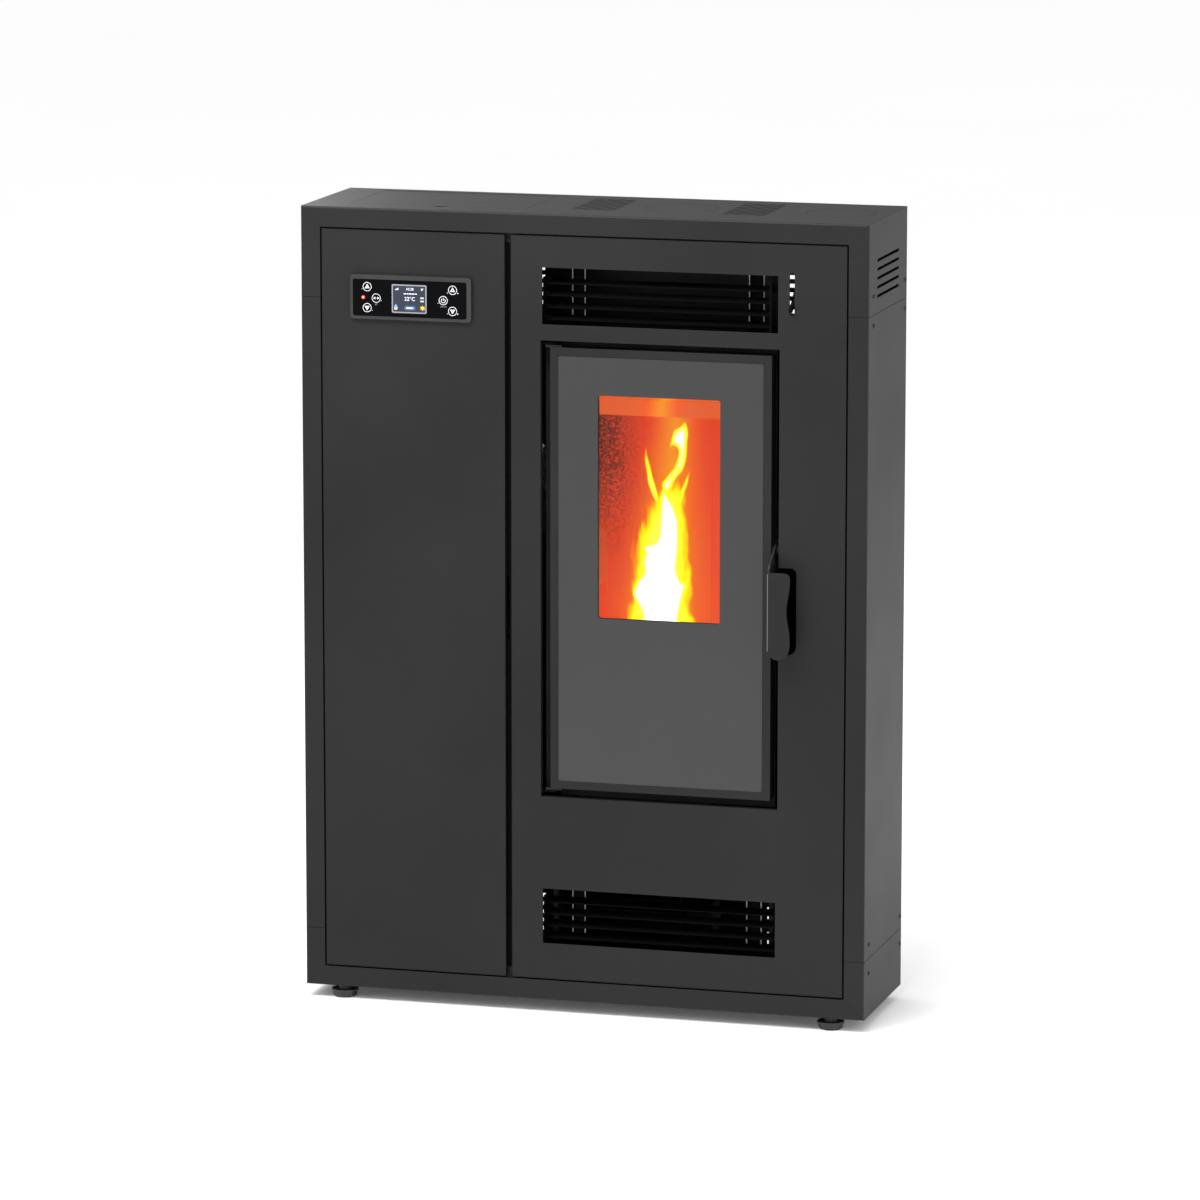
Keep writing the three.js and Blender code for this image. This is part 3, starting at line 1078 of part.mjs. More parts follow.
function makeSpigot() {
  return pipe(fanOutlet.spigotX, fanOutlet.spigotZ, spigot.radius, spigot.wall, fanBack + gap, back + spigot.beyond,
    spigot.flange);
}

function makeIntakePipe() {
  return pipe(intake.x, intake.z, intake.radius, intake.wall, boxY[1] + gap, back + intake.beyond, intake.radius + 6);
}

// ---------------------------------------------------------------- room air blower

const blowerX = [fromLeft(blower.x), fromLeft(blower.x + blower.length)];
const blowerY = inside(blower.d);
const blowerZ = up(blower.z);

function makeBlowerHousing() {
  const t = blower.plate;
  const half = blower.size / 2;
  const low = floorGap + sheet + gap;
  const [x0, x1] = [blowerX[0] - 4, blowerX[1] + 4];
  const plates = [x0 - t, x1].map((x) => box(x, x + t, blowerY - half, blowerY + half, low, blowerZ + half));
  const rear = box(x0 - t, x1 + t, blowerY + half - t, blowerY + half, blowerZ - half, blowerZ + half);
  const belly = box(x0 - t, x1 + t, blowerY - half / 2, blowerY + half, blowerZ - half, blowerZ - half + t);
  const hole = rod(bore(blower.shaft, gap, 12), [x0 - t - past, blowerY, blowerZ], [x1 + t + past, blowerY, blowerZ],
    12);
  return cut(join(...plates, rear, belly), hole);
}

function makeBlowerRotor() {
  const [x0, x1] = blowerX;
  const parts = [rod(blower.shaft, [x0 - 4 - blower.plate, blowerY, blowerZ], [x1 + 4 + blower.plate + 18, blowerY,
    blowerZ], 12)];
  for (const x of [x0, (x0 + x1) / 2 - 1, x1 - 2]) {
    parts.push(rod(blower.wheel, [x, blowerY, blowerZ], [x + 2, blowerY, blowerZ], 20));
  }
  for (let i = 0; i < blower.blades; i += 1) {
    const geometry = new THREE.BoxGeometry(x1 - x0, 1.6, 9);
    geometry.rotateX(rad(25));
    geometry.translate(0, 0, blower.wheel - 5.2);
    geometry.rotateX((i / blower.blades) * 2 * Math.PI);
    geometry.translate((x0 + x1) / 2, blowerY, blowerZ);
    parts.push(solid(geometry));
  }
  return join(...parts);
}

function makeBlowerMotor() {
  const x0 = blowerX[1] + 4 + blower.plate + gap;
  const can = rod(blower.motorRadius, [x0, blowerY, blowerZ], [x0 + blower.motorLength, blowerY, blowerZ], 20);
  const hole = rod(bore(blower.shaft, gap, 12), [x0 - past, blowerY, blowerZ], [x0 + 20, blowerY, blowerZ], 12);
  return cut(can, hole);
}

// ---------------------------------------------------------------- controls and mains

const pocketFace = [fromLeft(bezel.pocketX), fromLeft(bezel.pocketX) + display.width, up(bezel.pocketZ),
  up(bezel.pocketZ) + display.height];

function makeBezel() {
  const [x0, x1, z0, z1] = bezelFace;
  const plate = prism(roundRect(x0, x1, z0, z1, bezel.radius), 'xz', front - gap - bezel.proud, front - gap, 3);
  const [px0, px1, pz0, pz1] = grow(pocketFace, gap);
  const pocket = prism(roundRect(px0, px1, pz0, pz1, display.radius), 'xz', front - gap - bezel.proud - past,
    front - gap - bezel.proud + display.thick + gap, 3);
  const skirt = ringXZ(bezelSkirt, grow(bezelSkirt, -2), front - gap - 1, inside(12));
  return join(cut(plate, pocket), skirt);
}

function makeDisplay() {
  const [x0, x1, z0, z1] = pocketFace;
  const face = front - gap - bezel.proud;
  return prism(roundRect(x0, x1, z0, z1, display.radius), 'xz', face, face + display.thick, 3);
}

function makeBoard() {
  const x0 = -side + sheet + gap;
  const [y0, y1] = [inside(board.d), inside(board.d + board.depth)];
  const [z0, z1] = [up(board.z), up(board.z + board.height)];
  const parts = [box(x0, x0 + board.thick, y0, y1, z0, z1)];
  for (let i = 0; i < 4; i += 1) {
    const y = y0 + 12 + i * (board.depth - 24) / 4;
    parts.push(box(x0 + board.thick - 1, x0 + board.thick + 8, y, y + 18, z0 + 12, z0 + 26));
  }
  return join(...parts);
}

const inletX = [fromLeft(inlet.x), fromLeft(inlet.x + inlet.width)];
const inletZ = [up(inlet.z), up(inlet.z + inlet.height)];
const inletMiddle = (inletX[0] + inletX[1]) / 2;
const rockerZ = inletZ[1] - 8 - rocker.height / 2;
const rockerY = rearPanelBack + gap + 2;

function makeInlet() {
  const y1 = rearPanelBack + gap + 3;
  const body = box(...inletX, y1 - inlet.depth, y1 - 1, ...inletZ);
  const flange = box(inletX[0] - inlet.flange, inletX[1] + inlet.flange, rearPanelBack + gap, y1,
    inletZ[0] - inlet.flange, inletZ[1] + inlet.flange);
  const halfWidth = inlet.socketWidth / 2;
  const socket = box(inletMiddle - halfWidth, inletMiddle + halfWidth, y1 - inlet.depth + 3, y1 + past, inletZ[0] + 6,
    inletZ[0] + 6 + inlet.socketHeight);
  const pins = [-7, 0, 7].map((dx) => box(inletMiddle + dx - 1, inletMiddle + dx + 1, y1 - inlet.depth + 2,
    y1 - 4, inletZ[0] + (dx === 0 ? 17 : 13), inletZ[0] + (dx === 0 ? 21 : 17)));
  const window = box(inletMiddle - rocker.width / 2 - gap, inletMiddle + rocker.width / 2 + gap, y1 - inlet.depth + 3,
    y1 + past, rockerZ - rocker.height / 2 - 1, rockerZ + rocker.height / 2 + 1);
  const axle = rod(bore(1.5, gap, 10), [inletMiddle - rocker.width / 2 - 3, rockerY - 5, rockerZ],
    [inletMiddle + rocker.width / 2 + 3, rockerY - 5, rockerZ], 10);
  return cut(join(cut(join(body, flange), socket), ...pins), window, axle);
}

// Rocker about its own axle, level: it is turned to its resting side when placed.
function makeRocker() {
  const halfHeight = rocker.height / 2;
  const face = 8;
  const shape = new THREE.Shape();
  shape.moveTo(-3, -4);
  shape.lineTo(face - 3, -halfHeight);
  shape.lineTo(face, -halfHeight);
  shape.quadraticCurveTo(face - 3.2, 0, face, halfHeight);
  shape.lineTo(face - 3, halfHeight);
  shape.lineTo(-3, 4);
  const body = prism(shape, 'yz', inletMiddle - rocker.width / 2, inletMiddle + rocker.width / 2, 4);
  const reach = rocker.width / 2 + 2.5;
  return join(body, rod(1.5, [inletMiddle - reach, 0, 0], [inletMiddle + reach, 0, 0], 10));
}

// ---------------------------------------------------------------- assembly

place('hood', makeHood(), paint());
place('left_side_panel', makeSidePanel(-1), paint());
place('right_side_panel', makeSidePanel(1), paint());
place('base_tray', makeBaseTray(), paint());
place('rear_panel', makeRearPanel(), paint());
place('left_front_panel', makeLeftFrontPanel(), paint());
place('right_front_panel', makeRightFrontPanel(), paint());
place('divider_channel', makeDivider(), darkPaint());
place('partition_wall', makePartition(), zinc());
for (const [name, [x, y]] of Object.entries(footSpots)) place(`foot_${name}`, makeFoot(), rubber(), [x, y, 0]);

place('hopper_lid', makeLid(), paint());
place('lid_hinge_rod', makeLidRod(), steel());
place('hopper', makeHopper(), zinc());
place('hopper_grid', makeHopperGrid(), steel());
place('auger_tube', makeAugerTube(), steel());
const augerTurn = [0, Math.PI / 4, 0];
place('auger_screw', makeAugerScrew(), steel(), augerLow.toArray(), augerTurn);
place('gear_motor', makeGearMotor(), zinc(), augerLow.toArray(), augerTurn);
place('pellet_chute', makeChute(), fireSteel());

place('firebox', makeFirebox(), fireSteel());
place('firebox_liner', makeLiner(), castIron());
place('baffle_plate', makeBaffle(), castIron());
place('pot_shelf', makeShelf(), fireSteel());
place('burn_pot', makePot(), castIron());
place('ash_pan', makeAshPan(), fireSteel());
place('igniter', makeIgniter(), steel());

place('door_frame', makeDoorFrame(), paint());
place('door_glass', makeDoorGlass(), finish(0x3a3a3b, 0.08, 0, { transparent: true, opacity: 0.9 }));
place('window_glass', makeViewGlass(), finish(0x8a6a50, 0.05, 0, { transparent: true, opacity: 0.35 }));
place('door_gasket', makeGasket(), rope());
place('glass_clamp_left', makeClamp(-1), steel());
place('glass_clamp_right', makeClamp(1), steel());
place('door_hinge_top', makeHingeBracket(1), darkPaint());
place('door_hinge_bottom', makeHingeBracket(-1), darkPaint());
place('door_handle', makeHandle(), paint());
place('latch_keeper', makeKeeper(), steel());

place('upper_louvre_frame', makeUpperLouvreFrame(), darkPaint());
for (let i = 0; i < slat.count; i += 1) {
  place(`louvre_slat_${i + 1}`, makeSlat(i), darkPaint(), [0, slatY, slatZ(i)], [rad(slat.tilt), 0, 0]);
}
place('louvre_link_bar', makeLinkBar(), darkPaint());
place('louvre_lever', makeLever(), darkPaint(), [0, slatY, slatZ(0)], [rad(lever.angle), 0, 0]);
place('lower_louvre', makeLowerLouvre(), darkPaint());

place('smoke_box', makeSmokeBox(), fireSteel());
place('exhaust_fan_housing', makeFanHousing(), zinc());
place('exhaust_impeller', makeImpeller(), steel());
place('exhaust_fan_motor', makeFanMotor(), zinc());
place('flue_spigot', makeSpigot(), steel());
place('air_intake_pipe', makeIntakePipe(), steel());
place('room_blower_housing', makeBlowerHousing(), zinc());
place('room_blower_rotor', makeBlowerRotor(), zinc());
place('room_blower_motor', makeBlowerMotor(), zinc());

place('control_bezel', makeBezel(), plastic());
place('display_panel', makeDisplay(), finish(0x0b0c10, 0.1, 0));
place('control_board', makeBoard(), plastic());
place('power_inlet', makeInlet(), plastic());
place('rocker_switch', makeRocker(), plastic(), [0, rockerY - 5, rockerZ], [rad(-rocker.tilt), 0, 0]);

export default stove;
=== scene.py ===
import math
import random

import bmesh
import bpy
import numpy as np
from mathutils import Matrix, Vector


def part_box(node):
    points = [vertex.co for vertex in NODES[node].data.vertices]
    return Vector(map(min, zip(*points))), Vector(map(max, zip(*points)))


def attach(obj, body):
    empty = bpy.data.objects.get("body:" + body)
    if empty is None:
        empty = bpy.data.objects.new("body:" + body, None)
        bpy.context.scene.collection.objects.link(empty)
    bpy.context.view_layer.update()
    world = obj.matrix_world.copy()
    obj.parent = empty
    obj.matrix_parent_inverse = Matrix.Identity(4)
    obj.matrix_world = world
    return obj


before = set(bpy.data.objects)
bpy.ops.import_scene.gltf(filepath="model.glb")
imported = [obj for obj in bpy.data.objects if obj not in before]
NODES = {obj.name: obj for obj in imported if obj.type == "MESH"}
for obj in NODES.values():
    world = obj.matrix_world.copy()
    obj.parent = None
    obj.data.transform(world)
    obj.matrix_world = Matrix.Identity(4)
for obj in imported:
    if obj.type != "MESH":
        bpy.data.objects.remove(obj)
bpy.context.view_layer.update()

# Millimetres, in the row frame: X from the casing's middle, Y from its middle, heights from its underside.
LIFT = 18.0  # the casing's underside stands this far above the floor
FRONT = -112.0  # front face of the casing
REAR = 109.7  # outer face of the rear panel
SIDE = 402.5  # outer faces of the side panels
TOP = 1100.0
POT_X, POT_Y = 88.0, -2.0  # axis of the burn pot
FLUE = (322.0, 206.0)  # X and height of the flue outlet in the rear panel
INTAKE = (88.0, 390.0)
CHANNEL_DEPTH = 36.0  # front edges of the upright channels behind the front
CHANNEL_EDGES = (-23.7, -6.0, 226.2, 246.7)
LOUVRE_HEIGHTS = ((951, 1024), (83, 156))
KNOCKOUTS = ((109.0, 50.0), (334.5, 47.0))  # X and radius
KNOCKOUT_Y = 6.5


def at(x, y, zc):
    """Metres from millimetres: zc counts from the casing's underside."""
    return Vector((x / 1000, y / 1000, (zc + LIFT) / 1000))


# ---------------------------------------------------------------- materials


class Mat:
    """A node material with short calls for what the stove's surfaces need."""

    def __init__(self, name, color, rough, metal=0.0, **more):
        self.material = bpy.data.materials.new(name)
        self.material.use_nodes = True
        self.tree = self.material.node_tree
        self.bsdf = self.tree.nodes["Principled BSDF"]
        self.out = self.tree.nodes["Material Output"]
        self.set("Base Color", (*color, 1))
        self.set("Roughness", rough)
        self.set("Metallic", metal)
        for key, value in more.items():
            self.set(key.replace("_", " ").title().replace("Ior", "IOR"), value)
        self.coord = self.add("ShaderNodeTexCoord").outputs["Object"]

    def set(self, socket, value):
        self.bsdf.inputs[socket].default_value = value

    def feed(self, node, socket, value):
        """Link an output to the socket, or set a plain value on it."""
        if isinstance(value, bpy.types.NodeSocket):
            self.tree.links.new(value, node.inputs[socket])
        else:
            node.inputs[socket].default_value = value

    def add(self, kind, inputs=(), **props):
        node = self.tree.nodes.new(kind)
        for key, value in props.items():
            setattr(node, key, value)
        for key, value in dict(inputs).items():
            self.feed(node, key, value)
        return node

    def link(self, a, socket, node=None):
        self.tree.links.new(a, (node or self.bsdf).inputs[socket])

    def noise(self, scale, detail=4.0, rough=0.55, distort=0.0):
        node = self.add("ShaderNodeTexNoise", {"Vector": self.coord, "Scale": scale, "Detail": detail,
                                               "Roughness": rough, "Distortion": distort})
        return node.outputs["Fac"]

    def math(self, op, a, b=0.0, c=0.0, clamp=False):
        node = self.add("ShaderNodeMath", {0: a, 1: b, 2: c}, operation=op, use_clamp=clamp)
        return node.outputs[0]

    def span(self, value, low, high, out_low=0.0, out_high=1.0, smooth=False):
        kind = "SMOOTHSTEP" if smooth else "LINEAR"
        limits = {"Value": value, "From Min": low, "From Max": high, "To Min": out_low, "To Max": out_high}
        return self.add("ShaderNodeMapRange", limits, interpolation_type=kind).outputs["Result"]

    def ramp(self, value, *stops):
        node = self.add("ShaderNodeValToRGB", {"Fac": value})
        band = node.color_ramp.elements
        while len(band) < len(stops):
            band.new(0.5)
        for element, (position, color) in zip(band, stops):
            element.position = position
            element.color = (*color, 1)
        return node.outputs["Color"]

    def mix(self, factor, a, b):
        node = self.add("ShaderNodeMix", data_type="RGBA")
        self.feed(node, 0, factor)
        for socket, color in ((6, a), (7, b)):
            self.feed(node, socket, (*color, 1) if isinstance(color, tuple) else color)
        return node.outputs[2]

    def bump(self, height, strength, distance, edge=0.0):
        """Fine relief, on corners that are rounded to the radius edge (metres)."""
        node = self.add("ShaderNodeBump", {"Height": height, "Strength": strength, "Distance": distance})
        if edge:
            rounded_corner = self.add("ShaderNodeBevel", {"Radius": edge}, samples=4)
            self.link(rounded_corner.outputs["Normal"], "Normal", node)
        self.link(node.outputs["Normal"], "Normal")

    def axes(self):
        node = self.add("ShaderNodeSeparateXYZ", {"Vector": self.coord})
        return [node.outputs[i] for i in range(3)]

    def glow(self, color, strength):
        self.feed(self.bsdf, "Emission Color", (*color, 1) if isinstance(color, tuple) else color)
        self.feed(self.bsdf, "Emission Strength", strength)

    def mixed(self, factor, first, second):
        """Shader between two others."""
        node = self.add("ShaderNodeMixShader", {0: factor, 1: first.outputs[0], 2: second.outputs[0]})
        return node.outputs[0]


def powder(name, low, high, rough, grain=1400.0, bump=0.25, shine=0.2, edge=0.0007):
    """Fine-textured powder coat: tiny orange peel, slow changes of tone and a little settled dust."""
    m = Mat(name, low, rough, specular_ior_level=shine)
    slow = m.noise(3.2, 3.0)
    peel = m.noise(grain, 2.0, 0.6)
    fleck = m.noise(grain * 2.3, 1.0, 0.5)
    tone = m.math("ADD", m.math("MULTIPLY", slow, 0.75), m.math("MULTIPLY", fleck, 0.25))
    m.link(m.ramp(tone, (0.32, low), (0.7, high)), "Base Color")
    uneven = m.math("ADD", slow, m.math("MULTIPLY", peel, 0.4))
    m.link(m.span(uneven, 0.4, 1.0, rough - 0.05, rough + 0.07), "Roughness")
    m.bump(peel, bump, 0.00008, edge)
    return m.material


def metal(name, color, rough, streak=(1, 1, 1), scale=220.0, stain=0.25, spangle=False):
    """Bare or galvanised steel with drawn streaks or crystal spangle and some staining."""
    m = Mat(name, color, rough, 1.0)
    stretch = m.add("ShaderNodeMapping", {"Vector": m.coord, "Scale": streak})
    drawn = m.add("ShaderNodeTexNoise", {"Vector": stretch.outputs[0], "Scale": scale, "Detail": 3.0})
    fine = drawn.outputs["Fac"]
    if spangle:
        cells = m.add("ShaderNodeTexVoronoi", {"Vector": m.coord, "Scale": 110.0})
        fine = m.add("ShaderNodeSeparateColor", {0: cells.outputs["Color"]}).outputs[0]
    cloud = m.noise(9.0, 5.0)
    dark = tuple(c * (1 - stain) for c in color)
    m.link(m.ramp(m.math("ADD", m.math("MULTIPLY", fine, 0.45), m.math("MULTIPLY", cloud, 0.55)),
                  (0.3, dark), (0.68, color)), "Base Color")
    m.link(m.span(fine, 0.2, 0.8, rough - 0.08, rough + 0.1), "Roughness")
    m.bump(fine, 0.15, 0.00005)
    return m.material


def molded(name, color, rough, grain=2600.0):
    m = Mat(name, color, rough)
    grit = m.noise(grain, 2.0)
    m.link(m.span(m.noise(60.0, 3.0), 0.3, 0.7, rough - 0.06, rough + 0.08), "Roughness")
    m.link(m.ramp(m.noise(14.0), (0.35, color), (0.7, tuple(c * 1.5 + 0.002 for c in color))), "Base Color")
    m.bump(grit, 0.2, 0.00004)
    return m.material


def painted_firelight(name, base, firelight_color, strength, box_mm, speckle=0.0):
    """Sooty steel or iron with the fire's light painted on as its own emission, on faces inside box_mm (x0,
    x1, y0, y1, z0, z1) only.
    """
    m = Mat(name, base, 0.85, 0.0, specular_ior_level=0.2)
    x, y, z = m.axes()
    low, high = at(box_mm[0], box_mm[2], box_mm[4]), at(box_mm[1], box_mm[3], box_mm[5])
    soft = 0.0006
    inside = None
    for value, a, b in ((x, low.x, high.x), (y, low.y, high.y), (z, low.z, high.z)):
        rise = m.span(value, a - soft, a + soft)
        fall = m.span(value, b - soft, b + soft, 1.0, 0.0)
        both = m.math("MULTIPLY", rise, fall)
        inside = both if inside is None else m.math("MULTIPLY", inside, both)
    slow = m.noise(11.0, 5.0)
    grit = m.noise(330.0, 2.0)
    # Painted firelight: the wall's emission is orange behind the flame and turns red away from it.
    axis = m.math("ADD", 0.070, m.math("MULTIPLY", m.span(z, 0.55, 0.86), 0.022))
    away = m.math("ABSOLUTE", m.math("SUBTRACT", x, axis))
    width = m.span(z, 0.55, 0.86, 0.062, 0.022)
    waver = m.math("MULTIPLY", m.math("SUBTRACT", slow, 0.5), 0.55)
    ratio = m.math("ADD", m.math("DIVIDE", away, width), waver)
    color = m.ramp(m.span(ratio, 0.0, 2.2), (0.0, (1.0, 0.33, 0.01)), (0.22, (0.96, 0.2, 0.008)),
                   (0.42, (0.94, 0.105, 0.008)), (0.62, firelight_color), (1.0, tuple(c * 0.92 for c in firelight_color)))
    # Soot: dark speckled patch high on the left.
    soot_x = m.span(x, -0.022, 0.070, 1.0, 0.0, smooth=True)
    soot_z = m.span(z, 0.54, 0.79, 0.0, 1.0, smooth=True)
    patch = m.math("MULTIPLY", soot_x, soot_z)
    dots = m.span(m.math("ADD", grit, m.math("MULTIPLY", patch, 0.13)), 0.52, 0.61, 0.0, 1.0)
    shade = m.math("MULTIPLY", dots, m.math("ADD", m.math("MULTIPLY", patch, 0.84), 0.10), clamp=True)
    shade = m.math("MULTIPLY", shade, speckle)
    if speckle:
        color = m.mix(m.math("MULTIPLY", patch, 0.32), color, (0.22, 0.03, 0.02))
        color = m.mix(shade, color, (0.05, 0.008, 0.006))
    m.link(m.ramp(slow, (0.3, base), (0.7, tuple(c * 1.8 for c in base))), "Base Color")
    # Painted firelight: the wall emits the flame's light itself, inside the box only.
    m.glow(color, m.math("MULTIPLY", inside, strength))
    m.bump(grit, 0.5, 0.0004)
    return m.material


BODY = powder("body_powder", (0.0082, 0.0084, 0.0087), (0.0142, 0.0144, 0.0149), 0.47, shine=0.19)
# Black coat made much darker than the body's: painted shade for the louvres, hinges, recessed divider and the
# parts inside the casing.
DARK_AND_SHADE = powder("dark_and_shade_powder", (0.0011, 0.0011, 0.0012), (0.0024, 0.0024, 0.0026), 0.6, shine=0.05)
ZINC = metal("zinc_sheet", (0.33, 0.34, 0.35), 0.5, spangle=True)
STEEL = metal("bright_steel", (0.44, 0.44, 0.45), 0.33, streak=(1, 1, 18))
PLASTIC = molded("black_plastic", (0.010, 0.010, 0.011), 0.42)
RUBBER = molded("foot_rubber", (0.010, 0.010, 0.010), 0.5, 1500.0)
# Painted firelight: these firebox parts glow to stand in for the flame's light on them; the shelf also
# carries real soot.
CAST = painted_firelight("cast_liner", (0.02, 0.017, 0.015), (0.86, 0.053, 0.008), 0.98,
              (-52, 260, -76, 62.5, 440, 826), 1.0)
CHAMBER = painted_firelight("chamber_steel", (0.016, 0.014, 0.013), (0.8, 0.075, 0.02), 0.9,
                 (-51, 259, -79, 63, 455, 922), 0.4)
FIRELIT_LIP = painted_firelight("baffle_iron", (0.03, 0.02, 0.015), (0.86, 0.12, 0.022), 1.0,
                 (-51, 259, -79, 63, 812, 838))
SOOT_AND_FIRELIGHT = painted_firelight("shelf_steel", (0.014, 0.012, 0.011), (0.8, 0.09, 0.02), 0.6,
              (-51, 259, -79, 63, 453, 520), 0.5)
CHUTE = painted_firelight("chute_steel", (0.014, 0.012, 0.011), (0.8, 0.09, 0.02), 0.9,
               (-50, 260, -79, 63, 455, 700), 0.6)


def rope():
    m = Mat("glass_rope", (0.25, 0.24, 0.22), 0.95)
    braid = {"Vector": m.coord, "Scale": 190.0, "Distortion": 1.5, "Detail": 2.0}
    weave = m.add("ShaderNodeTexWave", braid, bands_direction="DIAGONAL").outputs["Fac"]
    m.link(m.ramp(weave, (0.2, (0.05, 0.048, 0.045)), (0.8, (0.3, 0.29, 0.26))), "Base Color")
    m.bump(weave, 0.8, 0.0006)
    return m.material


def printed_glass():
    """Ceramic glass: charcoal print with a darker outline near the edge, and a clear rounded window."""
    m = Mat("printed_glass", (0.03, 0.03, 0.03), 0.16, specular_ior_level=0.5)
    x, _, z = m.axes()

    def frame_mask(x0, x1, z0, z1, radius, soft=0.00035):
        centre = at((x0 + x1) / 2, 0, (z0 + z1) / 2)
        half = ((x1 - x0) / 2000 - radius, (z1 - z0) / 2000 - radius)
        far = []
        for value, middle, reach in ((x, centre.x, half[0]), (z, centre.z, half[1])):
            offset = m.math("SUBTRACT", m.math("ABSOLUTE", m.math("SUBTRACT", value, middle)), reach)
            far.append(m.math("MAXIMUM", offset, 0.0))
        length = m.math("SQRT", m.math("ADD", m.math("POWER", far[0], 2.0), m.math("POWER", far[1], 2.0)))
        return m.span(length, radius - soft, radius + soft, 1.0, 0.0)

    print_in = frame_mask(-32.6, 254.6, 313.4, 903.6, 0.003)
    window = frame_mask(22.5, 195.5, 543.0, 852.5, 0.0035)
    grain = m.noise(900.0, 2.0)
    slow = m.noise(5.0, 2.0)
    field = m.mix(slow, (0.0185, 0.0185, 0.019), (0.0235, 0.0235, 0.024))
    border = m.mix(slow, (0.014, 0.014, 0.0145), (0.019, 0.019, 0.0195))
    m.link(m.mix(print_in, border, field), "Base Color")
    m.link(m.span(grain, 0.3, 0.7, 0.30, 0.36), "Roughness")
    clear = m.add("ShaderNodeBsdfTransparent", {"Color": (0.98, 0.97, 0.96, 1)})
    shine = m.add("ShaderNodeBsdfGlossy", {"Color": (0.004, 0.004, 0.004, 1), "Roughness": 0.05})
    pane = m.add("ShaderNodeAddShader")
    m.link(clear.outputs[0], 0, pane)
    m.link(shine.outputs[0], 1, pane)
    m.link(m.mixed(window, m.bsdf, pane), "Surface", m.out)
    return m.material


def clear_glass():
    m = Mat("clear_glass", (0.9, 0.9, 0.9), 0.05)
    clear = m.add("ShaderNodeBsdfTransparent", {"Color": (0.98, 0.97, 0.96, 1)})
    shine = m.add("ShaderNodeBsdfGlossy", {"Color": (0.003, 0.003, 0.003, 1), "Roughness": 0.08})
    smear = m.span(m.noise(12.0, 6.0), 0.45, 0.8, 0.0, 0.02)
    film = m.add("ShaderNodeBsdfDiffuse", {"Color": (0.3, 0.25, 0.2, 1)})
    pane = m.add("ShaderNodeAddShader")
    m.link(m.mixed(smear, clear, film), 0, pane)
    m.link(shine.outputs[0], 1, pane)
    m.link(pane.outputs[0], "Surface", m.out)
    return m.material


def plain(name, color, rough=0.5, strength=0.0, metallic=0.0):
    """Small printed, lit or turned detail, with slight unevenness."""
    m = Mat(name, color, rough, metallic)
    cloud = m.noise(800.0, 2.0)
    m.link(m.ramp(cloud, (0.3, tuple(c * 0.85 for c in color)), (0.7, color)), "Base Color")
    if strength:
        m.glow(m.ramp(cloud, (0.3, tuple(c * 0.92 for c in color)), (0.7, color)), strength)
    return m.material


def screen():
    m = Mat("screen_black", (0.0012, 0.0012, 0.0016), 0.1, specular_ior_level=0.06)
    m.link(m.span(m.noise(30.0), 0.3, 0.7, 0.08, 0.13), "Roughness")
    return m.material


ROPE = rope()
PRINT = printed_glass()
CLEAR = clear_glass()
SCREEN = screen()

MATERIALS = {
    BODY: ["hood", "left_side_panel", "right_side_panel", "base_tray", "rear_panel", "left_front_panel",
           "right_front_panel", "hopper_lid", "door_frame", "door_handle"],
    DARK_AND_SHADE: ["divider_channel", "door_hinge_top", "door_hinge_bottom", "upper_louvre_frame", "louvre_slat_1",
           "louvre_slat_2", "louvre_slat_3", "louvre_slat_4", "louvre_link_bar", "louvre_lever",
           "lower_louvre", "room_blower_housing", "room_blower_rotor", "room_blower_motor", "smoke_box"],
    ZINC: ["partition_wall", "hopper", "exhaust_fan_housing", "gear_motor", "exhaust_fan_motor"],
    STEEL: ["lid_hinge_rod", "hopper_grid", "auger_tube", "auger_screw", "igniter", "glass_clamp_left",
            "glass_clamp_right", "latch_keeper", "exhaust_impeller", "flue_spigot", "air_intake_pipe"],
    PLASTIC: ["control_bezel", "control_board", "power_inlet", "rocker_switch"],
    RUBBER: ["foot_front_left", "foot_front_right", "foot_rear_left", "foot_rear_right"],
    CAST: ["firebox_liner", "burn_pot"],
    CHAMBER: ["firebox"],
    FIRELIT_LIP: ["baffle_plate"],
    SOOT_AND_FIRELIGHT: ["pot_shelf", "ash_pan"],
    CHUTE: ["pellet_chute"],
    ROPE: ["door_gasket"],
    PRINT: ["door_glass"],
    CLEAR: ["window_glass"],
    SCREEN: ["display_panel"],
}


def soften(obj, width):
    """Rounded edges (width in millimetres) over the CAD surface, which itself stays as it is."""
    flat = obj.modifiers.new("planar", "DECIMATE")
    flat.decimate_type = "DISSOLVE"
    flat.angle_limit = math.radians(1.0)
    bevel = obj.modifiers.new("edges", "BEVEL")
    bevel.width = width / 1000
    bevel.segments = 2
    bevel.limit_method = "ANGLE"
    bevel.angle_limit = math.radians(35)
    bevel.use_clamp_overlap = True
    bevel.harden_normals = False


for material, names in MATERIALS.items():
    for name in names:
        NODES[name].data.materials.clear()
        NODES[name].data.materials.append(material)
soften(NODES["door_handle"], 0.9)
for name in ("hopper_lid", "louvre_slat_1", "louvre_slat_2", "louvre_slat_3", "louvre_slat_4"):
    soften(NODES[name], 0.5)


# ---------------------------------------------------------------- mesh helpers


def placed(name, data):
    obj = bpy.data.objects.new(name, data)
    bpy.context.scene.collection.objects.link(obj)
    return obj


def on_circle(centre, radius, k, sides):
    """Corner k of a regular outline about the origin of (x, z) or (x, y) given by centre."""
    angle = 2 * math.pi * k / sides
    return centre[0] + radius * math.cos(angle), centre[1] + radius * math.sin(angle)


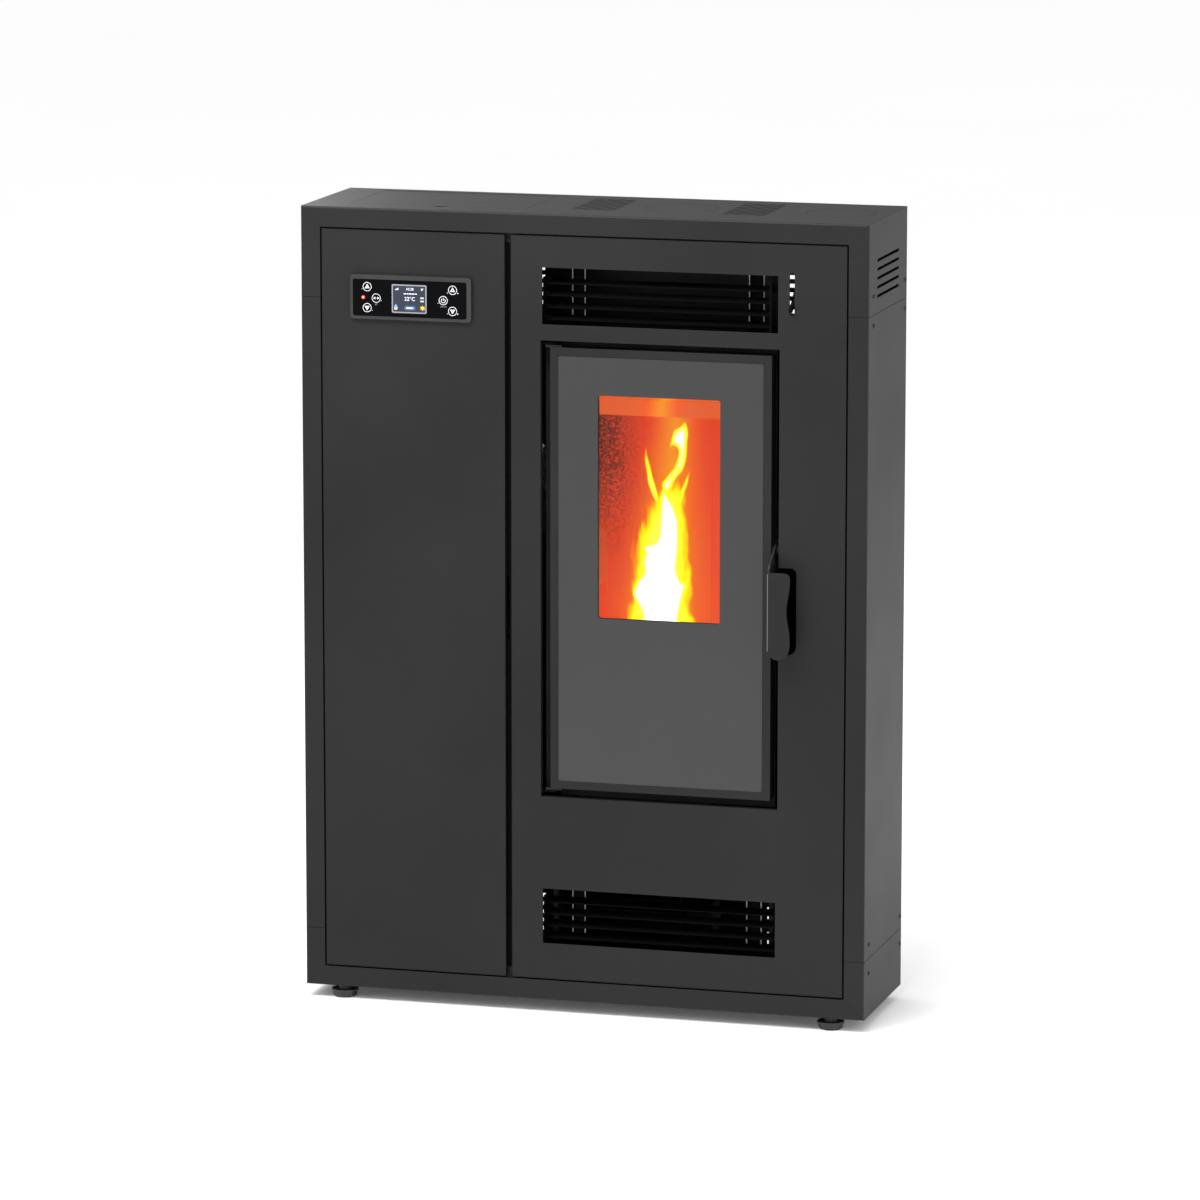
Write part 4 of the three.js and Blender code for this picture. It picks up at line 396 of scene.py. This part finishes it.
def piece(name, bm, material, body="casing", smooth=False):
    """Finished mesh of the scene's own, with its material, on a body."""
    mesh = bpy.data.meshes.new(name)
    bmesh.ops.recalc_face_normals(bm, faces=bm.faces)
    bm.to_mesh(mesh)
    bm.free()
    obj = placed(name, mesh)
    mesh.materials.append(material)
    for polygon in mesh.polygons:
        polygon.use_smooth = smooth
    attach(obj, body)
    return obj


def bar(bm, low, high):
    """Box between two corners given in metres."""
    xs, ys, zs = zip(low, high)
    v = [bm.verts.new((x, y, z)) for x in xs for y in ys for z in zs]
    for loop in ((0, 1, 3, 2), (4, 6, 7, 5), (0, 4, 5, 1), (2, 3, 7, 6), (0, 2, 6, 4), (1, 5, 7, 3)):
        bm.faces.new([v[i] for i in loop])


def extrude_xz(bm, points, y0, y1):
    """Outline (x, z) in metres carried from y0 to y1."""
    a = [bm.verts.new((x, y0, z)) for x, z in points]
    b = [bm.verts.new((x, y1, z)) for x, z in points]
    bm.faces.new(a)
    bm.faces.new(list(reversed(b)))
    for i in range(len(points)):
        j = (i + 1) % len(points)
        bm.faces.new([a[i], b[i], b[j], a[j]])


def ring_xz(bm, centre, radius, thick, y0, y1, sides=40, start=0.0, sweep=2 * math.pi):
    """Flat ring or arc of rectangular section about a Y axis."""
    closed = sweep >= 2 * math.pi - 1e-6
    count = sides if closed else sides + 1
    inner, outer = radius - thick / 2, radius + thick / 2
    loops = []
    for i in range(count):
        angle = start + sweep * i / sides
        c, s = math.cos(angle), math.sin(angle)
        loops.append([bm.verts.new((centre.x + r * c, y, centre.z + r * s))
                      for r, y in ((inner, y0), (outer, y0), (outer, y1), (inner, y1))])
    for i in range(count if closed else count - 1):
        a, b = loops[i], loops[(i + 1) % count]
        for k in range(4):
            bm.faces.new([a[k], a[(k + 1) % 4], b[(k + 1) % 4], b[k]])
    if not closed:
        bm.faces.new(loops[0])
        bm.faces.new(list(reversed(loops[-1])))


def screw_head(bm, centre, normal, radius=0.0032, height=0.0016):
    """Domed head with a round recess, standing on a face."""
    turn = Vector((0, 0, 1)).rotation_difference(normal).to_matrix()
    sides = 16

    def level(r, h):
        return [bm.verts.new(centre + turn @ Vector((*on_circle((0, 0), r * radius, i, sides), h * height)))
                for i in range(sides)]

    profile = ((1.0, 0.0), (1.0, 0.25), (0.86, 0.62), (0.6, 0.86), (0.3, 0.97), (0.22, 0.35))
    rings = [level(r, h) for r, h in profile]
    for a, b in zip(rings, rings[1:]):
        for i in range(sides):
            bm.faces.new([a[i], a[(i + 1) % sides], b[(i + 1) % sides], b[i]])
    bm.faces.new(rings[-1])


# ---------------------------------------------------------------- casing details

SHADOW = plain("seam_shadow", (0.002, 0.002, 0.002), 0.9)
SCREW = plain("black_screw", (0.006, 0.006, 0.0065), 0.35, metallic=0.6)
# Painted highlight for the upright channels' front edges.
EDGE_HIGHLIGHT = plain("painted_edge_highlight", (0.34, 0.34, 0.35), 0.45)
# Painted highlight for the handle's bent edge.
FOLD_HIGHLIGHT = plain("painted_fold_highlight", (0.10, 0.10, 0.105), 0.45)


def mitre_lines():
    """Hairline where the folded front frame meets at its four corners."""
    bm = bmesh.new()
    proud = 0.00006
    for sx in (-1, 1):
        for low in (True, False):
            outer = at(sx * (SIDE - 0.9), FRONT, 0.9 if low else TOP - 0.9)
            inner = at(sx * (SIDE - 27.9), FRONT, 27.9 if low else TOP - 27.9)
            way = (inner - outer).normalized()
            side = Vector((-way.z, 0, way.x)) * 0.0006
            points = [(p.x, p.z) for p in (outer - side, outer + side, inner + side, inner - side)]
            extrude_xz(bm, points, outer.y - proud, outer.y + 0.0003)
    piece("mitre_lines", bm, SHADOW)


def casing_screws():
    bm = bmesh.new()
    for sx in (-1, 1):
        for y, zc in ((-82.5, 999), (-82.5, 958.8), (104.5, 998.8), (104.5, 958.8), (-82, 101), (-82, 60.6),
                      (104.5, 100), (104.5, 60.2)):
            screw_head(bm, at(sx * SIDE, y, zc), Vector((sx, 0, 0)))
    piece("side_screws", bm, SCREW, smooth=True)
    bm = bmesh.new()
    back = Vector((0, 1, 0))
    for x in (-380, -190, 0, 190, 380):
        for zc in (16, 1084):
            screw_head(bm, at(x, REAR, zc), back)
    for zc in (250, 500, 750):
        for x in (-388, 388):
            screw_head(bm, at(x, REAR, zc), back)
    for (x, zc), radius in ((FLUE, 53), (INTAKE, 34)):
        for k in range(4):
            angle = math.pi / 4 + k * math.pi / 2
            screw_head(bm, at(x + radius * math.cos(angle), REAR, zc + radius * math.sin(angle)), back)
    piece("rear_screws", bm, SCREW, smooth=True)


def outline(bm, x0, x1, z0, z1, wide, y):
    """Dark line around a front panel, just proud of the sheet."""
    h = wide / 2
    for a, b, c, d in ((x0 - h, x1 + h, z0 - h, z0 + h), (x0 - h, x1 + h, z1 - h, z1 + h),
                       (x0 - h, x0 + h, z0 + h, z1 - h), (x1 - h, x1 + h, z0 + h, z1 - h)):
        bar(bm, (a, y - 0.00006, c), (b, y + 0.0001, d))


def panel_seams():
    """Shadow in the narrow gaps around the front panels."""
    bm = bmesh.new()
    for name in ("left_front_panel", "right_front_panel"):
        low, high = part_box(name)
        outline(bm, low.x, high.x, low.z, high.z, 0.0012, low.y)
    piece("panel_seams", bm, SHADOW)


def lid_seam():
    """Shadow around the hopper lid, on the hood's side of the gap and clear of the lid's swing."""
    low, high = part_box("hopper_lid")
    wide, clear = 0.0012, 0.0001
    hinge = (high.y + 0.0037, high.y + 0.0045)
    z0, z1 = high.z - 0.0001, high.z + 0.00006
    bm = bmesh.new()
    for x0, x1, y0, y1 in ((low.x - wide, high.x + wide, low.y - wide, low.y - clear),
                           (low.x - wide, high.x + wide, *hinge),
                           (low.x - wide, low.x - clear, low.y, high.y),
                           (high.x + clear, high.x + wide, low.y, high.y)):
        bar(bm, (x0, y0, z0), (x1, y1, z1))
    piece("lid_seam", bm, SHADOW)


def knockout_seams():
    """Shadow in the slits around the two flue knock-outs."""
    bm = bmesh.new()
    sides = 72
    proud, sunk = 0.00006, -0.0002
    for x, radius in KNOCKOUTS:
        centre = at(x, KNOCKOUT_Y, TOP)
        inner, outer = (radius - 0.2) / 1000, (radius + 1.4) / 1000
        rings = []
        for r, z in ((inner, proud), (outer, proud), (outer, sunk), (inner, sunk)):
            corners = [on_circle(centre, r, k, sides) for k in range(sides)]
            rings.append([bm.verts.new((*corner, centre.z + z)) for corner in corners])
        for i in range(4):
            a, b = rings[i], rings[(i + 1) % 4]
            for k in range(sides):
                bm.faces.new([a[k], a[(k + 1) % sides], b[(k + 1) % sides], b[k]])
    piece("knockout_seams", bm, SHADOW)


def handle_fold():
    """Painted highlight: a brighter line on the handle's fold, where the bend catches light."""
    low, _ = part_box("door_handle")
    bottom, top = at(0, 0, 515).z, at(0, 0, 622).z
    bm = bmesh.new()
    bar(bm, (low.x + 0.0001, low.y - 0.00008, bottom), (low.x + 0.0013, low.y + 0.0001, top))
    piece("handle_fold", bm, FOLD_HIGHLIGHT, body="handle")


def channel_edges():
    """Painted highlight: lighter strips on the front edges of the upright channels behind the slats, where
    the edges catch light.
    """
    bm = bmesh.new()
    front = FRONT + CHANNEL_DEPTH
    for z0, z1 in LOUVRE_HEIGHTS:
        for x in CHANNEL_EDGES:
            bar(bm, at(x + 0.2, front - 0.12, z0), at(x + 1.8, front + 0.02, z1))
    piece("channel_edges", bm, EDGE_HIGHLIGHT)


mitre_lines()
casing_screws()
channel_edges()
panel_seams()
lid_seam()
knockout_seams()
handle_fold()

# ---------------------------------------------------------------- control panel

WHITE = plain("key_print", (0.62, 0.63, 0.64), 0.5, 0.55)
GREY = plain("label_print", (0.20, 0.20, 0.21), 0.5, 0.25)
LCD_FRAME = plain("lcd_frame", (0.23, 0.24, 0.26), 0.35, 0.12)
LCD_TEXT = plain("lcd_text", (0.62, 0.68, 0.78), 0.5, 0.75)
LCD_BLUE = plain("lcd_blue", (0.12, 0.25, 0.72), 0.5, 0.9)
LCD_AMBER = plain("lcd_amber", (1.0, 0.42, 0.02), 0.5, 1.1)
RED = plain("red_led", (1.0, 0.03, 0.015), 0.3, 2.6)
RED_CORE = plain("red_led_core", (1.0, 0.28, 0.12), 0.3, 4.0)
LCD_KEY = plain("lcd_key_blue", (0.035, 0.07, 0.16), 0.4, 0.6)
PANEL_Y = (FRONT - 5.3) / 1000  # front face of the touch panel, in metres


def lit_screen():
    m = Mat("lcd_back", (0.01, 0.012, 0.02), 0.15)
    m.glow(m.ramp(m.noise(40.0), (0.3, (0.010, 0.013, 0.028)), (0.7, (0.016, 0.02, 0.04))), 1.0)
    return m.material


def flat_print(name, build, material, lift=0.00012):
    """Thin printed or lit detail on the touch panel. build(bm, y0, y1) makes its mesh."""
    bm = bmesh.new()
    build(bm, PANEL_Y - lift, PANEL_Y)
    return piece(name, bm, material)


def spot(x, zc):
    return at(x, 0, zc)


def triangle(bm, centre, size, turn, y0, y1):
    points = []
    for k in range(3):
        angle = turn + math.pi / 2 + k * 2 * math.pi / 3
        points.append((centre.x + size * math.cos(angle), centre.z + size * math.sin(angle)))
    extrude_xz(bm, points, y0, y1)


def keys():
    key_ring = 0.0059

    def rings(bm, y0, y1):
        for x, zc in ((-304.9, 991.8), (-292.0, 976.3), (-305.1, 962.7), (-182.2, 991.1), (-195.6, 976.4),
                      (-182.3, 961.9)):
            ring_xz(bm, spot(x, zc), key_ring, 0.0007, y0, y1)
        for x, zc, turn in ((-304.9, 991.6, 0), (-305.1, 963.0, math.pi), (-182.2, 990.9, 0),
                            (-182.3, 962.2, math.pi)):
            triangle(bm, spot(x, zc), 0.0041, turn, y0, y1)
        for dx, turn in ((-2.4, math.pi / 2), (2.4, -math.pi / 2)):
            triangle(bm, spot(-292.0 + dx, 976.3), 0.0021, turn, y0, y1)
        ring_xz(bm, spot(-195.6, 976.1), 0.0029, 0.0008, y0, y1, 24, math.pi / 2 + 0.62, 2 * math.pi - 1.24)
        low, high = spot(-196.0, 976.2), spot(-195.2, 980.2)
        bar(bm, (low.x, y0, low.z), (high.x, y1, high.z))

    flat_print("key_symbols", rings, WHITE)

    def eyes(bm, y0, y1):
        for x, zc in ((-304.9, 991.2), (-305.1, 963.4), (-182.2, 990.5), (-182.3, 962.6)):
            ring_xz(bm, spot(x, zc), 0.0005, 0.0009, y0 - 0.00008, y1, 12)

    flat_print("key_eyes", eyes, SHADOW)

    def dots(bm, y0, y1):
        for x, zc in ((-174.8, 987.0), (-174.9, 958.4)):
            ring_xz(bm, spot(x, zc), 0.0004, 0.0008, y0, y1, 12)
        for x, zc in ((-312.2, 988.6), (-189.6, 987.0), (-203.0, 972.6), (-284.9, 973.0), (-297.8, 959.2),
                      (-189.7, 958.4)):
            ring_xz(bm, spot(x, zc), 0.00025, 0.0005, y0, y1, 8)

    flat_print("key_marks", dots, WHITE)


def label(name, text, x, zc, size, material, proud=0.0001):
    """Text standing on the touch panel, centred on x and zc."""
    curve = bpy.data.curves.new(name, "FONT")
    curve.body = text
    curve.size = size / 1000
    curve.align_x = "CENTER"
    curve.align_y = "CENTER"
    curve.extrude = 0.00003
    curve.materials.append(material)
    obj = placed(name, curve)
    obj.rotation_euler = (math.pi / 2, 0, 0)
    obj.location = (x / 1000, PANEL_Y - proud, (zc + LIFT) / 1000)
    bpy.context.view_layer.update()
    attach(obj, "casing")


def rounded(x0, x1, z0, z1, r, steps=6):
    """Rounded rectangle as (x, z) in metres."""
    points = []
    left, right, low, high = x0 + r, x1 - r, z0 + r, z1 - r
    for cx, cz, a in ((right, high, 0), (left, high, 90), (left, low, 180), (right, low, 270)):
        for k in range(steps + 1):
            angle = math.radians(a + 90 * k / steps)
            points.append(((cx + r * math.cos(angle)) / 1000, (cz + LIFT + r * math.sin(angle)) / 1000))
    return points


def slab(x0, x1, z0, z1, r):
    """Builder for flat_print: a rounded rectangle."""
    return lambda bm, y0, y1: extrude_xz(bm, rounded(x0, x1, z0, z1, r), y0, y1)


def lcd():
    flat_print("lcd_frame", slab(-269.5, -219.5, 957, 996.5, 1.6), LCD_FRAME, 0.0003)
    flat_print("lcd_glass", slab(-267.7, -221.3, 958.8, 994.7, 1.0), lit_screen(), 0.00042)
    proud = 0.00055
    label("lcd_clock", "10:28", -243.6, 990.2, 5.0, LCD_TEXT, proud)
    label("lcd_degrees", "22°C", -243.6, 976.6, 7.4, LCD_TEXT, proud)

    def marks(bm, a, b):
        for k, h in enumerate((1.0, 1.7, 2.5)):
            low, high = spot(-264.6 + k * 1.7, 988.9), spot(-263.4 + k * 1.7, 988.9 + h)
            bar(bm, (low.x, a, low.z), (high.x, b, high.z))
        for k, w in enumerate((2.2, 3.4)):
            low, high = spot(-227.4, 989.2 + k * 1.6), spot(-227.4 + w, 990.0 + k * 1.6)
            bar(bm, (low.x, a, low.z), (high.x, b, high.z))
        x = -252.2
        for w in (3.4, 2.0, 4.2, 2.6, 3.0):
            low, high = spot(x, 983.3), spot(x + w, 984.5)
            bar(bm, (low.x, a, low.z), (high.x, b, high.z))
            x += w + 0.9
        for zc in (977.6, 973.2):
            for k in range(3):
                low, high = spot(-228.0 + k * 1.6, zc), spot(-226.9 + k * 1.6, zc + 1.9)
                bar(bm, (low.x, a, low.z), (high.x, b, high.z))
        extrude_xz(bm, rounded(-248.8, -238.4, 963.4, 965.0, 0.7), a, b)

    flat_print("lcd_marks", marks, LCD_TEXT, proud)
    flat_print("lcd_key", slab(-251.6, -235.4, 961.0, 967.4, 2.6), LCD_KEY, 0.00049)

    def drop(bm, a, b):
        points = []
        for k in range(24):
            t = k / 24 * 2 * math.pi
            rise = math.cos(t)
            narrow = 1 if rise < 0 else 1 - rise ** 1.4 * 0.9
            tall = 1 if rise < 0 else 2.1
            p = spot(-263.6 + 2.7 * math.sin(t) * narrow, 964.2 + 2.6 * rise * tall)
            points.append((p.x, p.z))
        extrude_xz(bm, points, a, b)

    flat_print("lcd_flame", drop, LCD_BLUE, proud)
    flat_print("lcd_flame_base", slab(-265.3, -261.8, 961.4, 963.6, 1.0), LCD_AMBER, 0.00062)

    def star(bm, a, b):
        points = []
        for k in range(12):
            r = 4.0 if k % 2 == 0 else 1.7
            angle = math.pi / 2 + k * math.pi / 6
            p = spot(-225.2 + r * math.cos(angle), 964.6 + r * math.sin(angle))
            points.append((p.x, p.z))
        extrude_xz(bm, points, a, b)

    flat_print("lcd_fan", star, LCD_AMBER, proud)


def bead(name, y, radius, flat, segments, material):
    """Flattened lens of the status lamp."""
    bm = bmesh.new()
    bmesh.ops.create_uvsphere(bm, u_segments=segments, v_segments=segments // 2, radius=radius)
    bmesh.ops.scale(bm, vec=(1, flat, 1), verts=bm.verts)
    bmesh.ops.translate(bm, vec=at(-310.7, y, 977.0), verts=bm.verts)
    piece(name, bm, material, smooth=True)


keys()
lcd()
bead("red_lamp", FRONT - 5.3, 0.0024, 0.25, 24, RED)
bead("red_lamp_core", FRONT - 5.7, 0.0011, 0.4, 16, RED_CORE)
label("label_set", "SET", -292.0, 967.6, 2.7, GREY)
label("label_on_off", "ON/OFF", -195.4, 967.7, 2.7, GREY)

# ---------------------------------------------------------------- fire


def smooth_loop(points, steps=8):
    """Closed Catmull-Rom curve through the points."""
    p = np.array(points, float)
    out = []
    for i in range(len(p)):
        a, b, c, d = (p[(i + k) % len(p)] for k in (-1, 0, 1, 2))
        for s in range(steps):
            t = s / steps
            out.append(0.5 * (2 * b + (c - a) * t + (2 * a - 5 * b + 4 * c - d) * t * t
                              + (3 * b - a - 3 * c + d) * t ** 3))
    return np.array(out)


def signed_distance(points, loop):
    """Distance of each point to the closed loop, positive inside."""
    a = loop
    b = np.roll(loop, -1, axis=0)
    best = np.full(len(points), 1e9)
    winding = np.zeros(len(points), dtype=bool)
    for p, q in zip(a, b):
        edge = q - p
        rel = points - p
        t = np.clip((rel @ edge) / max(edge @ edge, 1e-12), 0, 1)
        best = np.minimum(best, np.linalg.norm(rel - t[:, None] * edge, axis=1))
        crosses = (p[1] > points[:, 1]) != (q[1] > points[:, 1])
        if abs(q[1] - p[1]) > 1e-12:
            x = p[0] + (points[:, 1] - p[1]) * (q[0] - p[0]) / (q[1] - p[1])
            winding ^= crosses & (points[:, 0] < x)
    return np.where(winding, best, -best)


def flame_material(name, soft, core, strength):
    """Light only, no surface: fades out at its edge by the stored distance to it."""
    m = Mat(name, (0, 0, 0), 1.0)
    heat = m.add("ShaderNodeAttribute", attribute_name="fire_depth").outputs["Fac"]
    tall = m.add("ShaderNodeMapping", {"Vector": m.coord, "Scale": (1.0, 1.0, 0.28)}).outputs[0]
    wisp = m.add("ShaderNodeTexNoise", {"Vector": tall, "Scale": 95.0, "Detail": 5.0}).outputs["Fac"]
    value = m.math("ADD", heat, m.math("MULTIPLY", m.math("SUBTRACT", wisp, 0.5), core * 0.5))
    alpha = m.span(value, 0.0, soft, smooth=True)
    color = m.ramp(m.span(value, 0.0, core), (0.0, (1.0, 0.30, 0.0)), (0.22, (1.0, 0.66, 0.0)),
                   (0.5, (1.0, 0.9, 0.06)), (0.8, (1.0, 0.97, 0.55)), (1.0, (1.0, 1.0, 0.93)))
    light = m.add("ShaderNodeEmission", {"Color": color, "Strength": strength})
    clear = m.add("ShaderNodeBsdfTransparent")
    m.link(m.mixed(alpha, clear, light), "Surface", m.out)
    return m.material


def flame_sheet(name, points, y, bulge, material, turn=0.0, step=2.2, margin=2.0):
    """Curved sheet of flame, with the depth inside its outline stored per vertex.

    The points are (x, zc) in millimetres, with x from the burn pot's axis.
    """
    loop = smooth_loop(points)
    x0, z0 = loop.min(axis=0) - margin
    x1, z1 = loop.max(axis=0) + margin
    nx, nz = int((x1 - x0) / step) + 2, int((z1 - z0) / step) + 2
    grid = np.array([(x0 + i * step, z0 + j * step) for j in range(nz) for i in range(nx)])
    inside = signed_distance(grid, loop)
    bm = bmesh.new()
    layer = bm.verts.layers.float.new("fire_depth")
    verts = []
    c, s = math.cos(turn), math.sin(turn)
    for (x, z), d in zip(grid, inside):
        depth = y - bulge * math.sqrt(max(d, 0.0)) + 2.5 * math.sin(z * 0.05 + x * 0.03)
        v = bm.verts.new(at(POT_X + x * c - depth * s, POT_Y + x * s + depth * c, z))
        v[layer] = float(d)
        verts.append(v)
    for j in range(nz - 1):
        for i in range(nx - 1):
            k = [j * nx + i, j * nx + i + 1, (j + 1) * nx + i + 1, (j + 1) * nx + i]
            if max(inside[q] for q in k) > -margin:
                bm.faces.new([verts[q] for q in k])
    bmesh.ops.delete(bm, geom=[v for v in bm.verts if not v.link_faces], context="VERTS")
    obj = piece(name, bm, material, smooth=True)
    obj.visible_shadow = False


CORE = [(-30, 512), (-34, 534), (-46, 559), (-41, 577), (-31, 593), (-32, 607), (-29, 619), (-32, 631),
        (-22, 635), (-12, 641), (-9, 661), (-8, 678), (-6, 697), (-1, 712), (8, 704), (18, 689), (24, 670),
        (26, 646), (25, 617), (24, 597), (29, 585), (36, 578), (32, 559), (26, 534), (22, 512)]
HALO = [(-58, 512), (-55, 559), (-50, 597), (-44, 636), (-34, 670), (-24, 695), (-12, 712), (-1, 726),
        (13, 721), (30, 704), (35, 675), (37, 627), (40, 583), (40, 549), (39, 512)]
LEFT_TONGUE = [(-24, 768), (-19, 749), (-14, 731), (-9, 714), (-5, 698), (-9, 689), (-17, 702), (-22, 719),
               (-25, 738), (-27, 753)]
HOOK = [(-1, 707), (-4, 718), (7, 732), (15, 748), (19, 762), (13, 769), (6, 764), (7, 778), (12, 792),
        (22, 799), (30, 805), (35, 788), (33, 762), (28, 739), (17, 721), (9, 705)]
RIGHT_TONGUE = [(41, 743), (38, 728), (34, 712), (29, 695), (22, 678), (15, 674), (19, 692), (26, 712),
                (33, 728)]
SIDE_FLAME = [(2, 512), (30, 512), (30, 560), (24, 600), (18, 650), (9, 690), (2, 704)]

soft_fire = flame_material("flame_halo", 12.0, 58.0, 1.6)
white_fire = flame_material("flame_core", 4.5, 11.0, 3.2)
tongue_fire = flame_material("flame_tongue", 3.6, 11.0, 1.9)
flame_sheet("flame_halo", HALO, 8, 0.6, soft_fire)
flame_sheet("flame_core", CORE, -2, 1.8, white_fire)
flame_sheet("flame_hook", HOOK, 0, 1.0, tongue_fire)
flame_sheet("flame_left", LEFT_TONGUE, -6, 1.0, tongue_fire)
flame_sheet("flame_right", RIGHT_TONGUE, -8, 1.0, tongue_fire)
flame_sheet("flame_side", SIDE_FLAME, 0, 1.0, white_fire, turn=math.pi / 2)


def pellet(bm, centre, way, length, radius=0.0031):
    """Pressed-wood pellet with broken edges."""
    way = way.normalized()
    turn = Vector((0, 0, 1)).rotation_difference(way).to_matrix()
    rings = []
    for h, r in ((-0.5, 0.8), (-0.46, 1.0), (0.46, 1.0), (0.5, 0.8)):
        rings.append([bm.verts.new(centre + turn @ Vector((*on_circle((0, 0), radius * r, k, 8), h * length)))
                      for k in range(8)])
    for a, b in zip(rings, rings[1:]):
        for k in range(8):
            bm.faces.new([a[k], a[(k + 1) % 8], b[(k + 1) % 8], b[k]])
    bm.faces.new(list(reversed(rings[0])))
    bm.faces.new(rings[-1])


def pellets(name, count, low, high, material, seed):
    """Heap of loosely laid pellets between two corners."""
    rng = random.Random(seed)
    bm = bmesh.new()
    for _ in range(count):
        centre = Vector([rng.uniform(a, b) for a, b in zip(low, high)])
        way = Vector((rng.uniform(-1, 1), rng.uniform(-1, 1), rng.uniform(-0.35, 0.35)))
        pellet(bm, centre, way, rng.uniform(0.009, 0.016))
    piece(name, bm, material)


def ember_material():
    m = Mat("embers", (0.05, 0.02, 0.01), 0.9)
    crack = m.noise(160.0, 4.0)
    m.glow(m.ramp(crack, (0.35, (0.25, 0.01, 0.0)), (0.5, (1.0, 0.12, 0.01)), (0.7, (1.0, 0.6, 0.1))),
           m.span(crack, 0.35, 0.7, 0.3, 3.0))
    return m.material


def wood_material():
    m = Mat("wood_pellets", (0.45, 0.28, 0.13), 0.75)
    fibre = m.noise(240.0, 4.0)
    m.link(m.ramp(fibre, (0.3, (0.26, 0.14, 0.055)), (0.7, (0.52, 0.34, 0.16))), "Base Color")
    m.bump(fibre, 0.6, 0.0003)
    return m.material


pellets("ember_bed", 110, at(62, -28, 492), at(114, 24, 508), ember_material(), 4)
pellets("pellet_store", 1500, at(-385, -62, 985), at(-138, 88, 1012), wood_material(), 9)

# ---------------------------------------------------------------- studio


def pale_floor():
    bm = bmesh.new()
    far = 45.0
    bm.faces.new([bm.verts.new((x, y, 0)) for x, y in ((-far, -far), (far, -far), (far, far), (-far, far))])
    mesh = bpy.data.meshes.new("floor")
    bm.to_mesh(mesh)
    bm.free()
    obj = placed("floor", mesh)
    m = Mat("pale_floor", (0.96, 0.96, 0.96), 0.7, specular_ior_level=0.1)
    cloud = m.noise(0.8, 2.0)
    m.link(m.ramp(cloud, (0.3, (0.975, 0.975, 0.975)), (0.7, (0.985, 0.985, 0.985))), "Base Color")
    m.glow((1, 1, 1), 0.05)
    mesh.materials.append(m.material)


def soft_light(name, place, target, size, power):
    light = bpy.data.lights.new(name, "AREA")
    light.shape = "RECTANGLE"
    light.size, light.size_y = size
    light.energy = power
    obj = placed(name, light)
    obj.location = place
    obj.rotation_euler = (Vector(target) - Vector(place)).to_track_quat("-Z", "Y").to_euler()
    return obj


def studio():
    scene = bpy.context.scene
    world = bpy.data.worlds.new("studio")
    scene.world = world
    world.use_nodes = True
    nodes, links = world.node_tree.nodes, world.node_tree.links
    way = nodes.new("ShaderNodeSeparateXYZ")
    links.new(nodes.new("ShaderNodeTexCoord").outputs["Generated"], way.inputs[0])
    # The wall behind the stove is in shade: its reflection darkens the flat top and the upper side.
    spans = []
    for axis, low, high, out_low, out_high in ((1, 0.35, 0.85, 1.0, 0.10), (2, 0.32, 0.85, 0.0, 1.0)):
        span = nodes.new("ShaderNodeMapRange")
        limits = {"From Min": low, "From Max": high, "To Min": out_low, "To Max": out_high}
        for socket, value in limits.items():
            span.inputs[socket].default_value = value
        links.new(way.outputs[axis], span.inputs["Value"])
        spans.append(span)
    lit = nodes.new("ShaderNodeMath")
    lit.operation = "MAXIMUM"
    for k in range(2):
        links.new(spans[k].outputs["Result"], lit.inputs[k])
    gain = nodes.new("ShaderNodeMath")
    gain.operation = "MULTIPLY"
    gain.inputs[1].default_value = 1.09
    links.new(lit.outputs[0], gain.inputs[0])
    links.new(gain.outputs[0], nodes["Background"].inputs["Strength"])
    nodes["Background"].inputs["Color"].default_value = (1, 1, 1, 1)
    scene.view_settings.view_transform = "Standard"
    soft_light("top_light", (-1.2, -1.4, 4.2), (0, 0, 0.8), (3.5, 3.0), 80)
    soft_light("side_light", (4.2, 0.2, 0.8), (0.3, 0, 0.2), (2.2, 1.4), 45)
    soft_light("back_light", (-1.5, 3.5, 3.2), (-0.2, 0.1, 1.1), (3.0, 1.5), 12)
    soft_light("front_light", (-0.2, -1.25, 2.35), (0, 0, 1.05), (1.5, 0.5), 34)
    strip = soft_light("strip_light", (-1.75, 2.0, 1.62), (-0.4, 0, 1.1), (1.3, 0.7), 15)
    strip.visible_camera = False
    strip.visible_diffuse = False


def camera():
    data = bpy.data.cameras.new("camera")
    data.sensor_width = 36.0
    data.lens = 36.0 * 6547.2136516 / 1200
    data.clip_end = 300.0
    obj = placed("camera", data)
    azimuth, elevation, roll = (math.radians(a) for a in (15.76556894, 10.2125189, 0.02153276))
    ca, sa, ce, se = math.cos(azimuth), math.sin(azimuth), math.cos(elevation), math.sin(elevation)
    back = Vector((sa * ce, -ca * ce, se))
    right = Vector((ca, sa, 0))
    rise = back.cross(right)
    cr, sr = math.cos(roll), math.sin(roll)
    right, rise = cr * right + sr * rise, -sr * right + cr * rise
    place = at(2431.22, -8518.05 - 112, 2163.91)
    turn = Matrix((right, rise, back)).transposed().to_4x4()
    obj.matrix_world = Matrix.Translation(place) @ turn
    bpy.context.scene.camera = obj


pale_floor()
studio()
camera()
